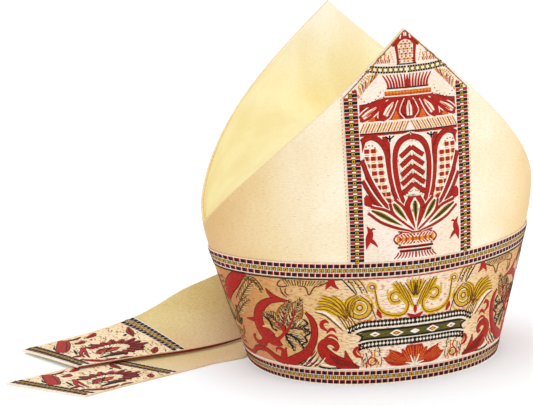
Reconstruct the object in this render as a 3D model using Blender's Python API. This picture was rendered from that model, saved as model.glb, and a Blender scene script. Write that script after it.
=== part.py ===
"""Bishop's mitre standing on its hem, with both lappets drawn round to one side.

Every piece is a cloth slab that is laid out flat in two directions and then draped on a
surface: the wall of the mitre, the gusset between its peaks, or the run of a lappet.
The front faces -Y, +X is on the right of someone who looks at the front, and the origin
is the middle of the hem on the surface that the mitre stands on.
Lengths are in millimetres until the meshes are made.
"""
import math
from functools import lru_cache

import bmesh
import bpy
import numpy as np

MM = 0.001

# ---- driving dimensions ---------------------------------------------------------------
HEIGHT = 280.0          # hem to the tip of either peak
SIDE_LEVEL = 122.9      # level of the side points, where the two peaks part
WALL = 2.0              # stiffened shield: satin, canvas and interlining
FACING = 1.0            # brocade and woven galloon
LINING = 1.0            # gusset cloth between the peaks
LAPPET_CLOTH = 1.6      # lappet: satin, interlining and backing
GAP = 0.3               # clearance between pieces that touch

# Horizontal sections of the outer face: (level, half width, half depth, roundness).
# The roundness is the power of a superellipse: 2 is an ellipse, less is more pointed.
SECTIONS = (
    (0.0, 101.5, 92.0, 2.14),
    (SIDE_LEVEL, 142.4, 103.2, 1.65),
    (HEIGHT, 126.7, 86.6, 2.44),
)
SECTION_EASE = 20.0     # height over which the wall eases from one taper to the next
PEAK_BOW = 0.082        # how far the peak's edges bow in, as a share of their half girth

BAND_TOP = 100.9        # upper edge of the circulus
GALLOON = 12.0          # width of the woven galloon on the circulus
TITULUS_HALF = 51.5     # centre line to the outer edge of the titulus
TITULUS_GALLOON = 11.0  # width of its galloon

LAPPET_SEAM = 42.0      # back centre line to the middle of each lappet's seam, along the hem
LAPPET_SLANT = 19.0     # degrees by which a lappet's end lies out of square
LAPPET_HEM = 2.0        # cloth that shows beyond the end galloon
LAPPET_GALLOON = 10.0
LAPPET_BROCADE = 72.0   # length of the brocade between the two galloons
SEAM_OUT = FACING + 3 * GAP     # from the wall to the seamed end of a lappet
SEAM_RUN = 50.0         # length over which a lappet forgets the hem's curve
TRIM_INSET = 0.5        # lappet cloth that shows beside its brocade and galloons

# The lower edge of each lappet on its way from the back hem round the left side to its
# end: (x, y, height over the floor, bank in degrees of the cloth towards its upper edge,
# width of cloth that lies open there).
NEAR_ROUTE = (
    (-66.0, 73.0, 0.1, 0.0, 50.0),
    (-66.0, 88.0, 0.1, 0.0, 50.0),
    (-69.0, 99.0, 0.1, 0.0, 50.0),
    (-77.0, 103.5, 0.1, 0.0, 50.0),
    (-85.0, 99.0, 0.1, 0.0, 49.0),
    (-88.0, 87.0, 0.1, 0.0, 48.0),
    (-89.0, 74.0, 0.1, 0.0, 47.0),
    (-92.5, 59.5, 0.1, 0.0, 47.0),
    (-99.0, 45.5, 0.1, 0.0, 48.0),
    (-108.5, 33.0, 0.1, 0.0, 50.0),
    (-121.5, 22.0, 0.1, 0.0, 54.0),
    (-140.0, 12.5, 0.1, 0.0, 60.0),
    (-170.0, 1.5, 0.1, 0.0, 67.0),
    (-210.0, -12.0, 0.1, 0.0, 70.0),
    (-275.5, -36.5, 0.1, 0.0, 72.0),
)
FAR_ROUTE = (
    (19.0, 94.0, 0.1, 0.0, 50.0),
    (21.0, 103.0, 0.1, 1.0, 50.0),
    (20.0, 112.0, 0.6, 10.0, 51.0),
    (12.0, 121.5, 1.6, 36.0, 52.0),
    (-2.0, 125.5, 2.6, 54.0, 53.0),
    (-21.0, 121.5, 2.8, 63.0, 54.0),
    (-40.0, 112.0, 3.0, 64.0, 56.0),
    (-57.0, 98.0, 3.0, 62.0, 57.0),
    (-74.0, 82.0, 3.2, 56.0, 58.0),
    (-93.0, 67.0, 3.4, 46.0, 60.0),
    (-119.0, 55.0, 3.8, 33.0, 63.0),
    (-150.0, 48.5, 3.8, 19.0, 66.0),
    (-196.0, 45.5, 3.8, 6.0, 69.0),
    (-265.0, 40.0, 2.8, -1.0, 72.0),
)

# Depth of the gusset below the peaks' edges: (share of the way from side point to tip,
# depth, power of the fold: low is an even sag, high is a trough with steep sides).
GUSSET_FOLDS = (
    (0.00, 0.0, 2.0),
    (0.20, 3.0, 2.0),
    (0.35, 10.0, 2.1),
    (0.50, 17.0, 2.3),
    (0.65, 26.0, 2.8),
    (0.80, 52.0, 3.8),
    (1.00, 100.0, 5.0),
)
GUSSET_REACH = 0.975    # share of the side seam's half girth that the gusset reaches
GUSSET_INSET = WALL + GAP + 0.8 * LINING    # outer face to the gusset's edge, clear of the wall

# ---- facets ---------------------------------------------------------------------------
QUARTER_COLUMNS = 14    # columns of cloth in a quarter of the girth
SHIELD_ROWS = 12
BAND_ROWS = 3
TITULUS_COLUMNS = 8
TITULUS_ROWS = 11
GUSSET_ROWS = 14
LAPPET_COLUMNS = 4
LAPPET_ROWS = 40
LAPPET_TRIM_ROWS = 7    # rows in a lappet's brocade; its galloons have one
CURVE_SAMPLES = 181     # points that a section's girth is measured with
ROUTE_SAMPLES = 16      # points between two rows of a route

COLOURS = {             # (red, green, blue), roughness
    "cream": ((0.84, 0.72, 0.52), 0.75),
    "yellow": ((0.86, 0.77, 0.50), 0.60),
    "brocade": ((0.55, 0.16, 0.10), 0.65),
    "galloon": ((0.23, 0.10, 0.07), 0.70),
}


# ---- the wall of the mitre ------------------------------------------------------------
def section(level):
    """Half width, half depth and roundness of the wall at a level."""
    levels, *columns = zip(*SECTIONS)
    values = []
    for column in columns:
        below = (column[1] - column[0]) / (levels[1] - levels[0])
        above = (column[2] - column[1]) / (levels[2] - levels[1])
        reach = max(0.0, SECTION_EASE - abs(level - SIDE_LEVEL))
        ease = (above - below) * reach ** 2 / (4.0 * SECTION_EASE)
        values.append(np.interp(level, levels, column) + ease)
    return values


@lru_cache(maxsize=None)
def quarter(level):
    """A quarter of the section, front centre to side: x, distance to the front, girth."""
    half_width, half_depth, roundness = section(level)
    angle = np.linspace(0.0, math.pi / 2.0, CURVE_SAMPLES)
    x = half_width * np.sin(angle) ** (2.0 / roundness)
    y = half_depth * np.cos(angle) ** (2.0 / roundness)
    girth = np.concatenate([[0.0], np.cumsum(np.hypot(np.diff(x), np.diff(y)))])
    return x, y, girth


def quarter_girth(level):
    return float(quarter(round(level, 3))[2][-1])


def on_section(along, level):
    """Point of the section `along` from the front centre, through a side to the back."""
    x, y, girth = quarter(round(level, 3))
    reach = abs(along)
    behind = reach > girth[-1]
    if behind:
        reach = 2.0 * girth[-1] - reach
    if reach < 0.0:
        return on_section(-math.copysign(2.0 * girth[-1] + reach, along), level)
    return (math.copysign(np.interp(reach, girth, x), along),
            np.interp(reach, girth, y) * (1.0 if behind else -1.0))


def on_wall(along, level, out=0.0):
    """Point `out` from the outer face, which keeps its level."""
    reach = 0.5         # half the length that the wall's direction is measured over
    x, y = on_section(along, level)
    x1, y1 = on_section(along - reach, level)
    x2, y2 = on_section(along + reach, level)
    length = math.hypot(x2 - x1, y2 - y1)
    return (x + out * (y2 - y1) / length, y - out * (x2 - x1) / length, level)


# ---- the peaks ------------------------------------------------------------------------
def peak_edge():
    """Level and distance from the centre line along one edge of a peak, side to tip."""
    share = np.linspace(0.0, 1.0, CURVE_SAMPLES)
    level = SIDE_LEVEL + (HEIGHT - SIDE_LEVEL) * share
    along = quarter_girth(SIDE_LEVEL) * ((1.0 - share) - PEAK_BOW * share * (1.0 - share))
    return level, along


EDGE_LEVEL, EDGE_ALONG = peak_edge()
EDGE_SHARE = EDGE_ALONG / np.array([quarter_girth(z) for z in EDGE_LEVEL])


def top_at_share(share):
    """Level of the peak's edge where a column takes this share of the quarter girth."""
    return float(np.interp(-abs(share), -EDGE_SHARE, EDGE_LEVEL))


def top_at_distance(along):
    """Level of the peak's edge at this distance from the centre line."""
    return float(np.interp(-abs(along), -EDGE_ALONG, EDGE_LEVEL))


# ---- slabs of cloth -------------------------------------------------------------------
def material(name):
    colour, roughness = COLOURS[name]
    finish = bpy.data.materials.get(name) or bpy.data.materials.new(name)
    finish.use_nodes = True
    shader = finish.node_tree.nodes["Principled BSDF"]
    shader.inputs["Base Color"].default_value = (*colour, 1.0)
    shader.inputs["Roughness"].default_value = roughness
    shader.inputs["Metallic"].default_value = 0.0
    return finish


def slab(name, finish, columns, rows, place):
    """Drape a closed slab: place(column, row, face) gives a point, face 1 outer, 0 inner."""
    mesh = bmesh.new()
    bmesh.ops.create_grid(mesh, x_segments=len(columns) - 1, y_segments=len(rows) - 1, size=1.0)
    sheet = bmesh.ops.extrude_face_region(mesh, geom=mesh.faces[:], use_keep_orig=True)
    raised = [item for item in sheet["geom"] if isinstance(item, bmesh.types.BMVert)]
    bmesh.ops.translate(mesh, vec=(0.0, 0.0, 1.0), verts=raised)
    for vertex in mesh.verts:
        column = columns[round((vertex.co.x + 1.0) / 2.0 * (len(columns) - 1))]
        row = rows[round((vertex.co.y + 1.0) / 2.0 * (len(rows) - 1))]
        vertex.co = [MM * value for value in place(column, row, round(vertex.co.z))]
    bmesh.ops.recalc_face_normals(mesh, faces=mesh.faces[:])
    if mesh.calc_volume(signed=True) < 0.0:
        bmesh.ops.reverse_faces(mesh, faces=mesh.faces[:])
    data = bpy.data.meshes.new(name)
    mesh.to_mesh(data)
    mesh.free()
    data.materials.append(material(finish))
    data.shade_smooth()
    data.set_sharp_from_angle(angle=math.radians(40.0))
    piece = bpy.data.objects.new(name, data)
    PARTS.objects.link(piece)
    return piece


def steps(first, last, count):
    return np.linspace(first, last, count + 1)


# ---- the pieces -----------------------------------------------------------------------
def shield(name, centre):
    """Front or back half of the wall, from the hem to its peak; centre is 0 or 2 quarters."""
    def place(share, rise, face):
        level = rise * top_at_share(share)
        girth = quarter_girth(level)
        along = np.clip(share * girth, GAP / 2.0 - girth, girth - GAP / 2.0)
        x, y, z = on_wall(along, level, (face - 1.0) * WALL)
        return (x, y, z) if centre == 0 else (-x, -y, z)
    shares = steps(-1.0, 1.0, 2 * QUARTER_COLUMNS)
    slab(name, "cream", shares, steps(0.0, 1.0, SHIELD_ROWS), place)


def ring(name, finish, low, high, rows):
    """A strip right round the wall, joined at the centre back."""
    def place(share, level, face):
        girth = quarter_girth(level)
        along = np.clip(share * girth, GAP / 2.0 - 2.0 * girth, 2.0 * girth - GAP / 2.0)
        return on_wall(along, level, GAP + face * FACING)
    slab(name, finish, steps(-2.0, 2.0, 4 * QUARTER_COLUMNS), steps(low, high, rows), place)


def upright(name, finish, left, right, columns):
    """An upright strip on the front, from the circulus to the peak's edge."""
    def place(along, rise, face):
        low = BAND_TOP + GAP
        level = low + rise * (top_at_distance(along) - GAP - low)
        return on_wall(along, level, GAP + face * FACING)
    slab(name, finish, steps(left, right, columns), steps(0.0, 1.0, TITULUS_ROWS), place)


def gusset():
    """The lining between the peaks: taut at the sides, a deep trough under the tips."""
    shares, depths, powers = zip(*GUSSET_FOLDS)

    def middle(share, across):
        top = top_at_share(share)
        rise = (top - SIDE_LEVEL) / (HEIGHT - SIDE_LEVEL)
        x, y, _ = on_wall(share * quarter_girth(top), top, -GUSSET_INSET)
        depth = np.interp(rise, shares, depths)
        fold = abs(across) ** np.interp(rise, shares, powers)
        return np.array([x, -y * across, top - LINING - depth * (1.0 - fold)])

    def place(share, turn, face):
        across = math.sin(turn * math.pi / 2.0)
        reach = 0.004   # half the share that the cloth's direction is measured over
        ahead = min(max(share, reach - GUSSET_REACH), GUSSET_REACH - reach)
        along = middle(ahead + reach, across) - middle(ahead - reach, across)
        over = middle(share, min(across + reach, 1.0)) - middle(share, max(across - reach, -1.0))
        normal = np.cross(along, over)
        return middle(share, across) + normal / np.linalg.norm(normal) * (face - 0.5) * LINING

    inner = steps(-1.0, 1.0, 2 * QUARTER_COLUMNS)[1:-1]
    columns = np.concatenate([[-GUSSET_REACH], inner, [GUSSET_REACH]])
    slab("gusset_lining", "yellow", columns, steps(-1.0, 1.0, GUSSET_ROWS), place)


def smooth(route, count):
    """Points of a Catmull-Rom curve through a route, evenly spaced along it."""
    rows = np.array(route)
    ends = np.vstack([2 * rows[0] - rows[1], rows, 2 * rows[-1] - rows[-2]])
    fine = []
    for start in range(len(rows) - 1):
        a, b, c, d = ends[start:start + 4]
        for t in np.linspace(0.0, 1.0, ROUTE_SAMPLES, endpoint=False):
            fine.append(0.5 * (2 * b + (c - a) * t + (2 * a - 5 * b + 4 * c - d) * t ** 2
                               + (3 * b - a - 3 * c + d) * t ** 3))
    fine = np.array(fine + [rows[-1]])
    middle = run_of(fine, 0.5)
    length = np.concatenate([[0.0], np.cumsum(np.linalg.norm(np.diff(middle, axis=0), axis=1))])
    at = np.linspace(0.0, length[-1], count)
    return at, np.stack([np.interp(at, length, column) for column in fine.T], axis=1)


def run_of(route, share):
    """The line at a share of the width from the lower edge of a banked strip."""
    heading = np.gradient(route[:, :2], axis=0)
    heading /= np.linalg.norm(heading, axis=1)[:, None]
    bank = np.radians(route[:, 3])
    level = np.stack([heading[:, 1], -heading[:, 0], np.zeros(len(route))], axis=1)
    across = level * np.cos(bank)[:, None] + np.array([0.0, 0.0, 1.0]) * np.sin(bank)[:, None]
    return route[:, :3] + across * route[:, 4:] * share


def lappet(name, route, seam):
    """A lappet: its cloth, and on it the brocade end between two galloons."""
    at, rows = smooth(route, len(route) * ROUTE_SAMPLES)
    length = at[-1]
    lower = run_of(rows, 0.0)
    upper = run_of(rows, 1.0)
    head, foot = rows[0][4], rows[-1][4]
    tail = foot / 2.0 * math.tan(math.radians(LAPPET_SLANT))

    def on_route(run, share):
        low, high = (np.array([np.interp(run, at, column) for column in edge.T])
                     for edge in (lower, upper))
        return low * (1.0 - share) + high * share

    def underside(run, share):
        """Point of the underside, `run` from the seam, share 0 at the lower edge to 1."""
        across = seam + (share - 0.5) * head
        x, y, _ = on_wall(2.0 * quarter_girth(0.0) - abs(across), 0.0, SEAM_OUT)
        hem = np.array([math.copysign(x, across), y, rows[0][2]])
        leave = min(max(run / SEAM_RUN, 0.0), 1.0)
        stay = 1.0 - leave * leave * (3.0 - 2.0 * leave)
        return on_route(run, share) + (hem - on_route(0.0, share)) * stay

    def strip(piece, finish, first, last, count, inset, low, thick):
        margin = inset / foot

        def place(share, run, face):
            near_end = min(max((run - length / 2.0) / (length / 4.0), 0.0), 1.0)
            where = run + (share - 0.5) * 2.0 * tail * near_end
            along = underside(where + 1.0, share) - underside(where - 1.0, share)
            over = underside(where, share + 0.02) - underside(where, share - 0.02)
            normal = np.cross(over, along)
            return underside(where, share) + normal / np.linalg.norm(normal) * (low + face * thick)
        shares = steps(margin, 1.0 - margin, LAPPET_COLUMNS)
        slab(piece, finish, shares, steps(first, last, count), place)

    edge = length - tail
    strip(name, "cream", 0.0, edge, LAPPET_ROWS, 0.0, 0.0, LAPPET_CLOTH)
    edge -= LAPPET_HEM
    for part, finish, width, count in (("galloon_end", "galloon", LAPPET_GALLOON, 1),
                                       ("brocade", "brocade", LAPPET_BROCADE, LAPPET_TRIM_ROWS),
                                       ("galloon_head", "galloon", LAPPET_GALLOON, 1)):
        strip(f"{name}_{part}", finish, edge - width, edge, count,
              TRIM_INSET, LAPPET_CLOTH + GAP, FACING)
        edge -= width + GAP


# ---- the mitre ------------------------------------------------------------------------
for old in list(bpy.data.objects):
    bpy.data.objects.remove(old)
PARTS = bpy.data.collections.new("bishop_mitre")
bpy.context.scene.collection.children.link(PARTS)

shield("front_shield", 0)
shield("back_shield", 2)
gusset()
ring("circulus_galloon_hem", "galloon", 0.0, GALLOON, 1)
ring("circulus_brocade", "brocade", GALLOON + GAP, BAND_TOP - GALLOON - GAP, BAND_ROWS)
ring("circulus_galloon_top", "galloon", BAND_TOP - GALLOON, BAND_TOP, 1)
inner_edge = TITULUS_HALF - TITULUS_GALLOON
upright("titulus_brocade", "brocade", GAP - inner_edge, inner_edge - GAP, TITULUS_COLUMNS)
upright("titulus_galloon_left", "galloon", -TITULUS_HALF, -inner_edge, 1)
upright("titulus_galloon_right", "galloon", inner_edge, TITULUS_HALF, 1)
lappet("near_lappet", NEAR_ROUTE, -LAPPET_SEAM)
lappet("far_lappet", FAR_ROUTE, LAPPET_SEAM)
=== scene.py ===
"""Bishop's mitre in cream ottoman cloth with brocade and check galloon, standing on its hem.

Each piece is cut flat, as a tailor would, in a pattern whose axes are millimetres along
and across the cloth with the lift above it as the third, and is then sewn onto a surface:
the wall of the mitre, the gusset between its peaks, or the run of a lappet.
"""

import math
import random

import bmesh
import bpy
import numpy as np
from mathutils import Matrix, Vector


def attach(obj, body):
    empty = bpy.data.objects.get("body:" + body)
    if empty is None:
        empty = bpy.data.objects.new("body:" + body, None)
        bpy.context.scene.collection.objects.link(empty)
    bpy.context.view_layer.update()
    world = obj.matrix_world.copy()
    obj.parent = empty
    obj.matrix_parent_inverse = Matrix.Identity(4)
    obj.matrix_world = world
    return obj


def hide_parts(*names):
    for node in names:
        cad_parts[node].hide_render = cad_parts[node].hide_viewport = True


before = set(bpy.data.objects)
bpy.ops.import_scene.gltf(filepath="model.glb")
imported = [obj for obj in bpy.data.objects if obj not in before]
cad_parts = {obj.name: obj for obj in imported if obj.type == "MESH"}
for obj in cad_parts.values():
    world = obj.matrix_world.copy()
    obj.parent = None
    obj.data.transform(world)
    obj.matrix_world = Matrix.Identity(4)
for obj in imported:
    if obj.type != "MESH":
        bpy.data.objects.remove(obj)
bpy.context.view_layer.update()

MM = 0.001
random.seed(7)

# ---- sizes in millimetres -------------------------------------------------------------
HEIGHT = 280.0          # hem to the tip of either peak
SIDE_LEVEL = 122.9      # level where the two peaks part
WALL = 2.0
FACING = 1.0            # brocade and galloon
LINING = 1.0
RIBBON = 1.0            # the lappets' cloth as drawn, with its trims at TRIM above it
TRIM = (1.08, 1.48)
GAP = 0.3               # clearance between sewn layers

# Horizontal sections of the wall: (level, half width, half depth, roundness).
SECTIONS = (
    (0.0, 101.5, 92.0, 2.14),
    (SIDE_LEVEL, 142.4, 103.2, 1.65),
    (HEIGHT, 126.7, 86.6, 2.44),
)
SECTION_EASE = 20.0     # height over which the wall's slope turns, above and below the sides
PEAK_BOW = 0.082        # how far the peaks' edges bow in, as a share of the quarter girth

BAND_TOP = 100.9
GALLOON = 12.0
TITULUS_HALF = 51.5
TITULUS_GALLOON = 11.0

# Depth of the gusset below the peaks' edges: (share from side point to tip, depth, power).
GUSSET_FOLDS = (
    (0.00, 0.0, 2.0),
    (0.20, 3.0, 2.0),
    (0.35, 10.0, 2.1),
    (0.50, 17.0, 2.3),
    (0.65, 26.0, 2.8),
    (0.80, 52.0, 3.8),
    (1.00, 100.0, 5.0),
)
GUSSET_REACH = 0.975    # share of the way to the side points that the lining takes
GUSSET_INSET = WALL + GAP + 0.8 * LINING

LAPPET_SEAM = 42.0      # from the back centre to the middle of each seam
LAPPET_SLANT = 19.0     # degrees that a lappet's end is cut askew
LAPPET_HEM = 2.0
LAPPET_GALLOON = 10.0
LAPPET_BROCADE = 72.0
SEAM_OUT = FACING + 3 * GAP
SEAM_RUN = 50.0         # length over which a lappet leaves the curve of the hem
# Lower edge of each lappet: (x, y, height over the floor, bank in degrees, open width).
NEAR_ROUTE = [(x, y, 0.1, 0.0, width) for x, y, width in (
    (-66.0, 73.0, 50.0), (-66.0, 88.0, 50.0), (-69.0, 99.0, 50.0), (-77.0, 103.5, 50.0),
    (-85.0, 99.0, 49.0), (-88.0, 87.0, 48.0), (-89.0, 74.0, 47.0), (-92.5, 59.5, 47.0),
    (-99.0, 45.5, 48.0), (-108.5, 33.0, 50.0), (-121.5, 22.0, 54.0), (-140.0, 12.5, 60.0),
    (-170.0, 1.5, 67.0), (-210.0, -12.0, 70.0), (-275.5, -36.5, 72.0))]
FAR_ROUTE = (
    (19.0, 94.0, 0.1, 0.0, 50.0), (21.0, 103.0, 0.1, 1.0, 50.0), (20.0, 112.0, 0.6, 10.0, 51.0),
    (12.0, 121.5, 1.6, 36.0, 52.0), (-2.0, 125.5, 2.6, 54.0, 53.0),
    (-21.0, 121.5, 2.8, 63.0, 54.0), (-40.0, 112.0, 3.0, 64.0, 56.0),
    (-57.0, 98.0, 3.0, 62.0, 57.0), (-74.0, 82.0, 3.2, 56.0, 58.0),
    (-93.0, 67.0, 3.4, 46.0, 60.0), (-119.0, 55.0, 3.8, 33.0, 63.0),
    (-150.0, 48.5, 3.8, 19.0, 66.0), (-196.0, 45.5, 3.8, 6.0, 69.0),
    (-265.0, 40.0, 2.8, -1.0, 72.0))
# How much fuller the near lappet is at its lower edge where it meets the hem: (run, extra).
HEM_CORNER = ((164.0, 0.0), (172.0, 5.5), (177.0, 10.5), (183.0, 12.0), (188.0, 7.5), (195.0, 3.0),
              (204.0, 0.0))
# How far the far lappet's dark red edge hangs below its lower edge, partly its rolled lining and
# partly painted shadow between the two lappets: (run, depth).
LINING_AND_SHADOW_DROP = ((150.0, 0.2), (205.0, 1.5), (235.0, 2.0), (262.0, 1.6), (290.0, 0.7), (360.0, 0.4))
ROUTE_SAMPLES = 16      # points along each stretch of a route


# ---- curves and rows of numbers -------------------------------------------------------
def through(a, b, c, d, t):
    """Point between b and c of the smooth curve through four rows."""
    return 0.5 * (2 * b + (c - a) * t + (2 * a - 5 * b + 4 * c - d) * t ** 2
                  + (3 * b - a - 3 * c + d) * t ** 3)


def smooth(share):
    """Ease in and out between 0 and 1."""
    return share * share * (3.0 - 2.0 * share)


def unit(rows, guard=0.0):
    """Rows scaled to length 1, with a guard where a row can be zero."""
    return rows / (np.linalg.norm(rows, axis=1)[:, None] + guard)


def distances(x, y):
    """Distance along a flat path at each of its points."""
    return np.concatenate([[0.0], np.cumsum(np.hypot(np.diff(x), np.diff(y)))])


def read_rows(places, tabled, rows):
    """Rows at some places, read between the tabled ones."""
    return np.stack([np.interp(places, tabled, column) for column in rows.T], axis=1)


# ---- the wall of the mitre ------------------------------------------------------------
LEVEL_STEP = 2.0        # the wall is tabled every 2 mm of height
LEVELS = np.arange(0.0, HEIGHT + LEVEL_STEP, LEVEL_STEP)
SHARES = np.linspace(0.0, 1.0, 129)
SECTION_SAMPLES = 721


def section(level):
    """Half width, half depth and roundness of the wall at a level."""
    levels, *columns = zip(*SECTIONS)
    values = []
    for column in columns:
        below = (column[1] - column[0]) / (levels[1] - levels[0])
        above = (column[2] - column[1]) / (levels[2] - levels[1])
        reach = max(0.0, SECTION_EASE - abs(level - SIDE_LEVEL))
        ease = (above - below) * reach ** 2 / (4.0 * SECTION_EASE)
        values.append(np.interp(level, levels, column) + ease)
    return values


def table_wall():
    """Quarter girth at each tabled level, and the quarter's points at even shares of it."""
    girths, widths, depths = [], [], []
    angle = np.linspace(0.0, math.pi / 2.0, SECTION_SAMPLES)
    for level in LEVELS:
        half_width, half_depth, roundness = section(level)
        x = half_width * np.sin(angle) ** (2.0 / roundness)
        y = half_depth * np.cos(angle) ** (2.0 / roundness)
        girth = distances(x, y)
        girths.append(girth[-1])
        widths.append(np.interp(SHARES * girth[-1], girth, x))
        depths.append(np.interp(SHARES * girth[-1], girth, y))
    return np.array(girths), np.array(widths), np.array(depths)


GIRTHS, WIDTHS, DEPTHS = table_wall()


def quarter_girth(level):
    return np.interp(level, LEVELS, GIRTHS)


def blend_table(table, share, level):
    """Value of a wall table between its rows and columns."""
    margin = 1.001      # so that each place has a next row and a next column
    row = np.clip(level / LEVEL_STEP, 0.0, len(LEVELS) - margin)
    column = np.clip(share * (len(SHARES) - 1), 0.0, len(SHARES) - margin)
    i, j = row.astype(int), column.astype(int)
    row, column = row - i, column - j
    low = table[i, j] * (1.0 - column) + table[i, j + 1] * column
    high = table[i + 1, j] * (1.0 - column) + table[i + 1, j + 1] * column
    return low * (1.0 - row) + high * row


def on_section(along, level):
    """Point of a section `along` from the front centre, through a side to the back."""
    turn = np.abs(along) / quarter_girth(level)
    share = 1.0 - np.abs(1.0 - np.mod(turn, 2.0))
    side = np.sign(along) * np.where(np.sin(turn * math.pi / 2.0) < 0.0, -1.0, 1.0)
    face = np.where(np.cos(turn * math.pi / 2.0) < 0.0, 1.0, -1.0)
    return side * blend_table(WIDTHS, share, level), face * blend_table(DEPTHS, share, level)


def wall(along, level, out):
    """Surface of the wall: along the girth from the front centre, level, distance out."""
    reach = 0.5         # half the length that the wall's direction is measured over
    x, y = on_section(along, level)
    x1, y1 = on_section(along - reach, level)
    x2, y2 = on_section(along + reach, level)
    length = np.hypot(x2 - x1, y2 - y1)
    return np.stack([x + out * (y2 - y1) / length, y - out * (x2 - x1) / length, level], axis=1)


def back_wall(along, level, out):
    """The same surface, with along measured from the back centre."""
    return wall(along, level, out) * (-1.0, -1.0, 1.0)


def trim_face(along, level, out):
    """The outer face of the brocade and the galloons."""
    return wall(along, level, out + GAP + FACING)


# ---- the peaks ------------------------------------------------------------------------
RISE = np.linspace(0.0, 1.0, 361)       # from a side point to the tip
EDGE_LEVEL = SIDE_LEVEL + (HEIGHT - SIDE_LEVEL) * RISE
EDGE_ALONG = quarter_girth(SIDE_LEVEL) * ((1.0 - RISE) - PEAK_BOW * RISE * (1.0 - RISE))
EDGE_SHARE = EDGE_ALONG / quarter_girth(EDGE_LEVEL)


def top_at_share(share):
    return np.interp(-np.abs(share), -EDGE_SHARE, EDGE_LEVEL)


def top_at_distance(along):
    return np.interp(-np.abs(along), -EDGE_ALONG, EDGE_LEVEL)


def gusset_middle(share, across):
    shares, depths, powers = zip(*GUSSET_FOLDS)
    top = top_at_share(share)
    rise = (top - SIDE_LEVEL) / (HEIGHT - SIDE_LEVEL)
    edge = wall(share * quarter_girth(top), top, np.full_like(top, -GUSSET_INSET))
    fold = np.abs(across) ** np.interp(rise, shares, powers)
    sag = np.interp(rise, shares, depths) * (1.0 - fold)
    return np.stack([edge[:, 0], -edge[:, 1] * across, top - LINING - sag], axis=1)


def gusset(share, turn, lift):
    """Surface of the lining: share of the girth, turn from front to back, lift in mm."""
    across = np.sin(turn * math.pi / 2.0)
    reach = 0.004       # half the share that the cloth's direction is measured over
    ahead = np.clip(share, reach - GUSSET_REACH, GUSSET_REACH - reach)
    along = gusset_middle(ahead + reach, across) - gusset_middle(ahead - reach, across)
    over = (gusset_middle(share, np.minimum(across + reach, 1.0))
            - gusset_middle(share, np.maximum(across - reach, -1.0)))
    normal = unit(np.cross(along, over))
    return gusset_middle(share, across) + normal * (lift - LINING / 2.0)[:, None]


# ---- the lappets' runs ----------------------------------------------------------------
class Run:
    """The surface that a lappet lies on: run from its seam, offset across, lift.

    The offset counts from the middle towards the lower edge, so that the lift points up.
    """

    def __init__(self, route, seam):
        rows = np.array(route)
        ends = np.vstack([2 * rows[0] - rows[1], rows, 2 * rows[-1] - rows[-2]])
        fine = []
        for a, b, c, d in zip(ends, ends[1:], ends[2:], ends[3:]):
            for t in np.linspace(0.0, 1.0, ROUTE_SAMPLES, endpoint=False):
                fine.append(through(a, b, c, d, t))
        fine = np.array(fine + [rows[-1]])
        steps = np.linalg.norm(np.diff(self.edge(fine, 0.5), axis=0), axis=1)
        length = np.concatenate([[0.0], np.cumsum(steps)])
        self.at = np.linspace(0.0, length[-1], len(route) * ROUTE_SAMPLES)
        self.rows = read_rows(self.at, length, fine)
        self.length = length[-1]
        self.seam = seam
        self.head, self.foot = rows[0][4], rows[-1][4]
        self.tail = self.foot / 2.0 * math.tan(math.radians(LAPPET_SLANT))
        self.end = self.length - self.tail
        self.lower, self.upper = self.edge(self.rows, 0.0), self.edge(self.rows, 1.0)

    @staticmethod
    def edge(rows, share):
        """The line at a share of the width from the lower edge of the banked strip."""
        heading = unit(np.gradient(rows[:, :2], axis=0))
        bank = np.radians(rows[:, 3])[:, None]
        level = np.stack([heading[:, 1], -heading[:, 0], np.zeros(len(rows))], axis=1)
        across = level * np.cos(bank) + np.array([0.0, 0.0, 1.0]) * np.sin(bank)
        return rows[:, :3] + across * rows[:, 4:] * share

    def on_route(self, run, share):
        lower, upper = (read_rows(run, self.at, edge) for edge in (self.lower, self.upper))
        return lower * (1.0 - share[:, None]) + upper * share[:, None]

    def underside(self, run, share):
        across = self.seam + (share - 0.5) * self.head
        start = np.zeros_like(run)
        hem = wall(2.0 * quarter_girth(0.0) - np.abs(across), start, start + SEAM_OUT)
        hem[:, 0] = np.copysign(hem[:, 0], across)
        hem[:, 2] = self.rows[0][2]
        stay = 1.0 - smooth(np.clip(run / SEAM_RUN, 0.0, 1.0))
        return self.on_route(run, share) + (hem - self.on_route(start, share)) * stay[:, None]

    def __call__(self, run, offset, lift):
        step, reach = 1.0, 0.02     # run and share that the cloth's direction is measured over
        share = 0.5 - offset / self.foot
        # The cloth's rows lean more and more beyond the middle, up to the slanted cut.
        near_end = np.clip((run - self.length / 2.0) / (self.length / 4.0), 0.0, 1.0)
        where = run + (share - 0.5) * 2.0 * self.tail * near_end
        along = self.underside(where + step, share) - self.underside(where - step, share)
        over = self.underside(where, share + reach) - self.underside(where, share - reach)
        return self.underside(where, share) + unit(np.cross(over, along)) * lift[:, None]


near_run = Run(NEAR_ROUTE, -LAPPET_SEAM)
far_run = Run(FAR_ROUTE, LAPPET_SEAM)


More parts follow.
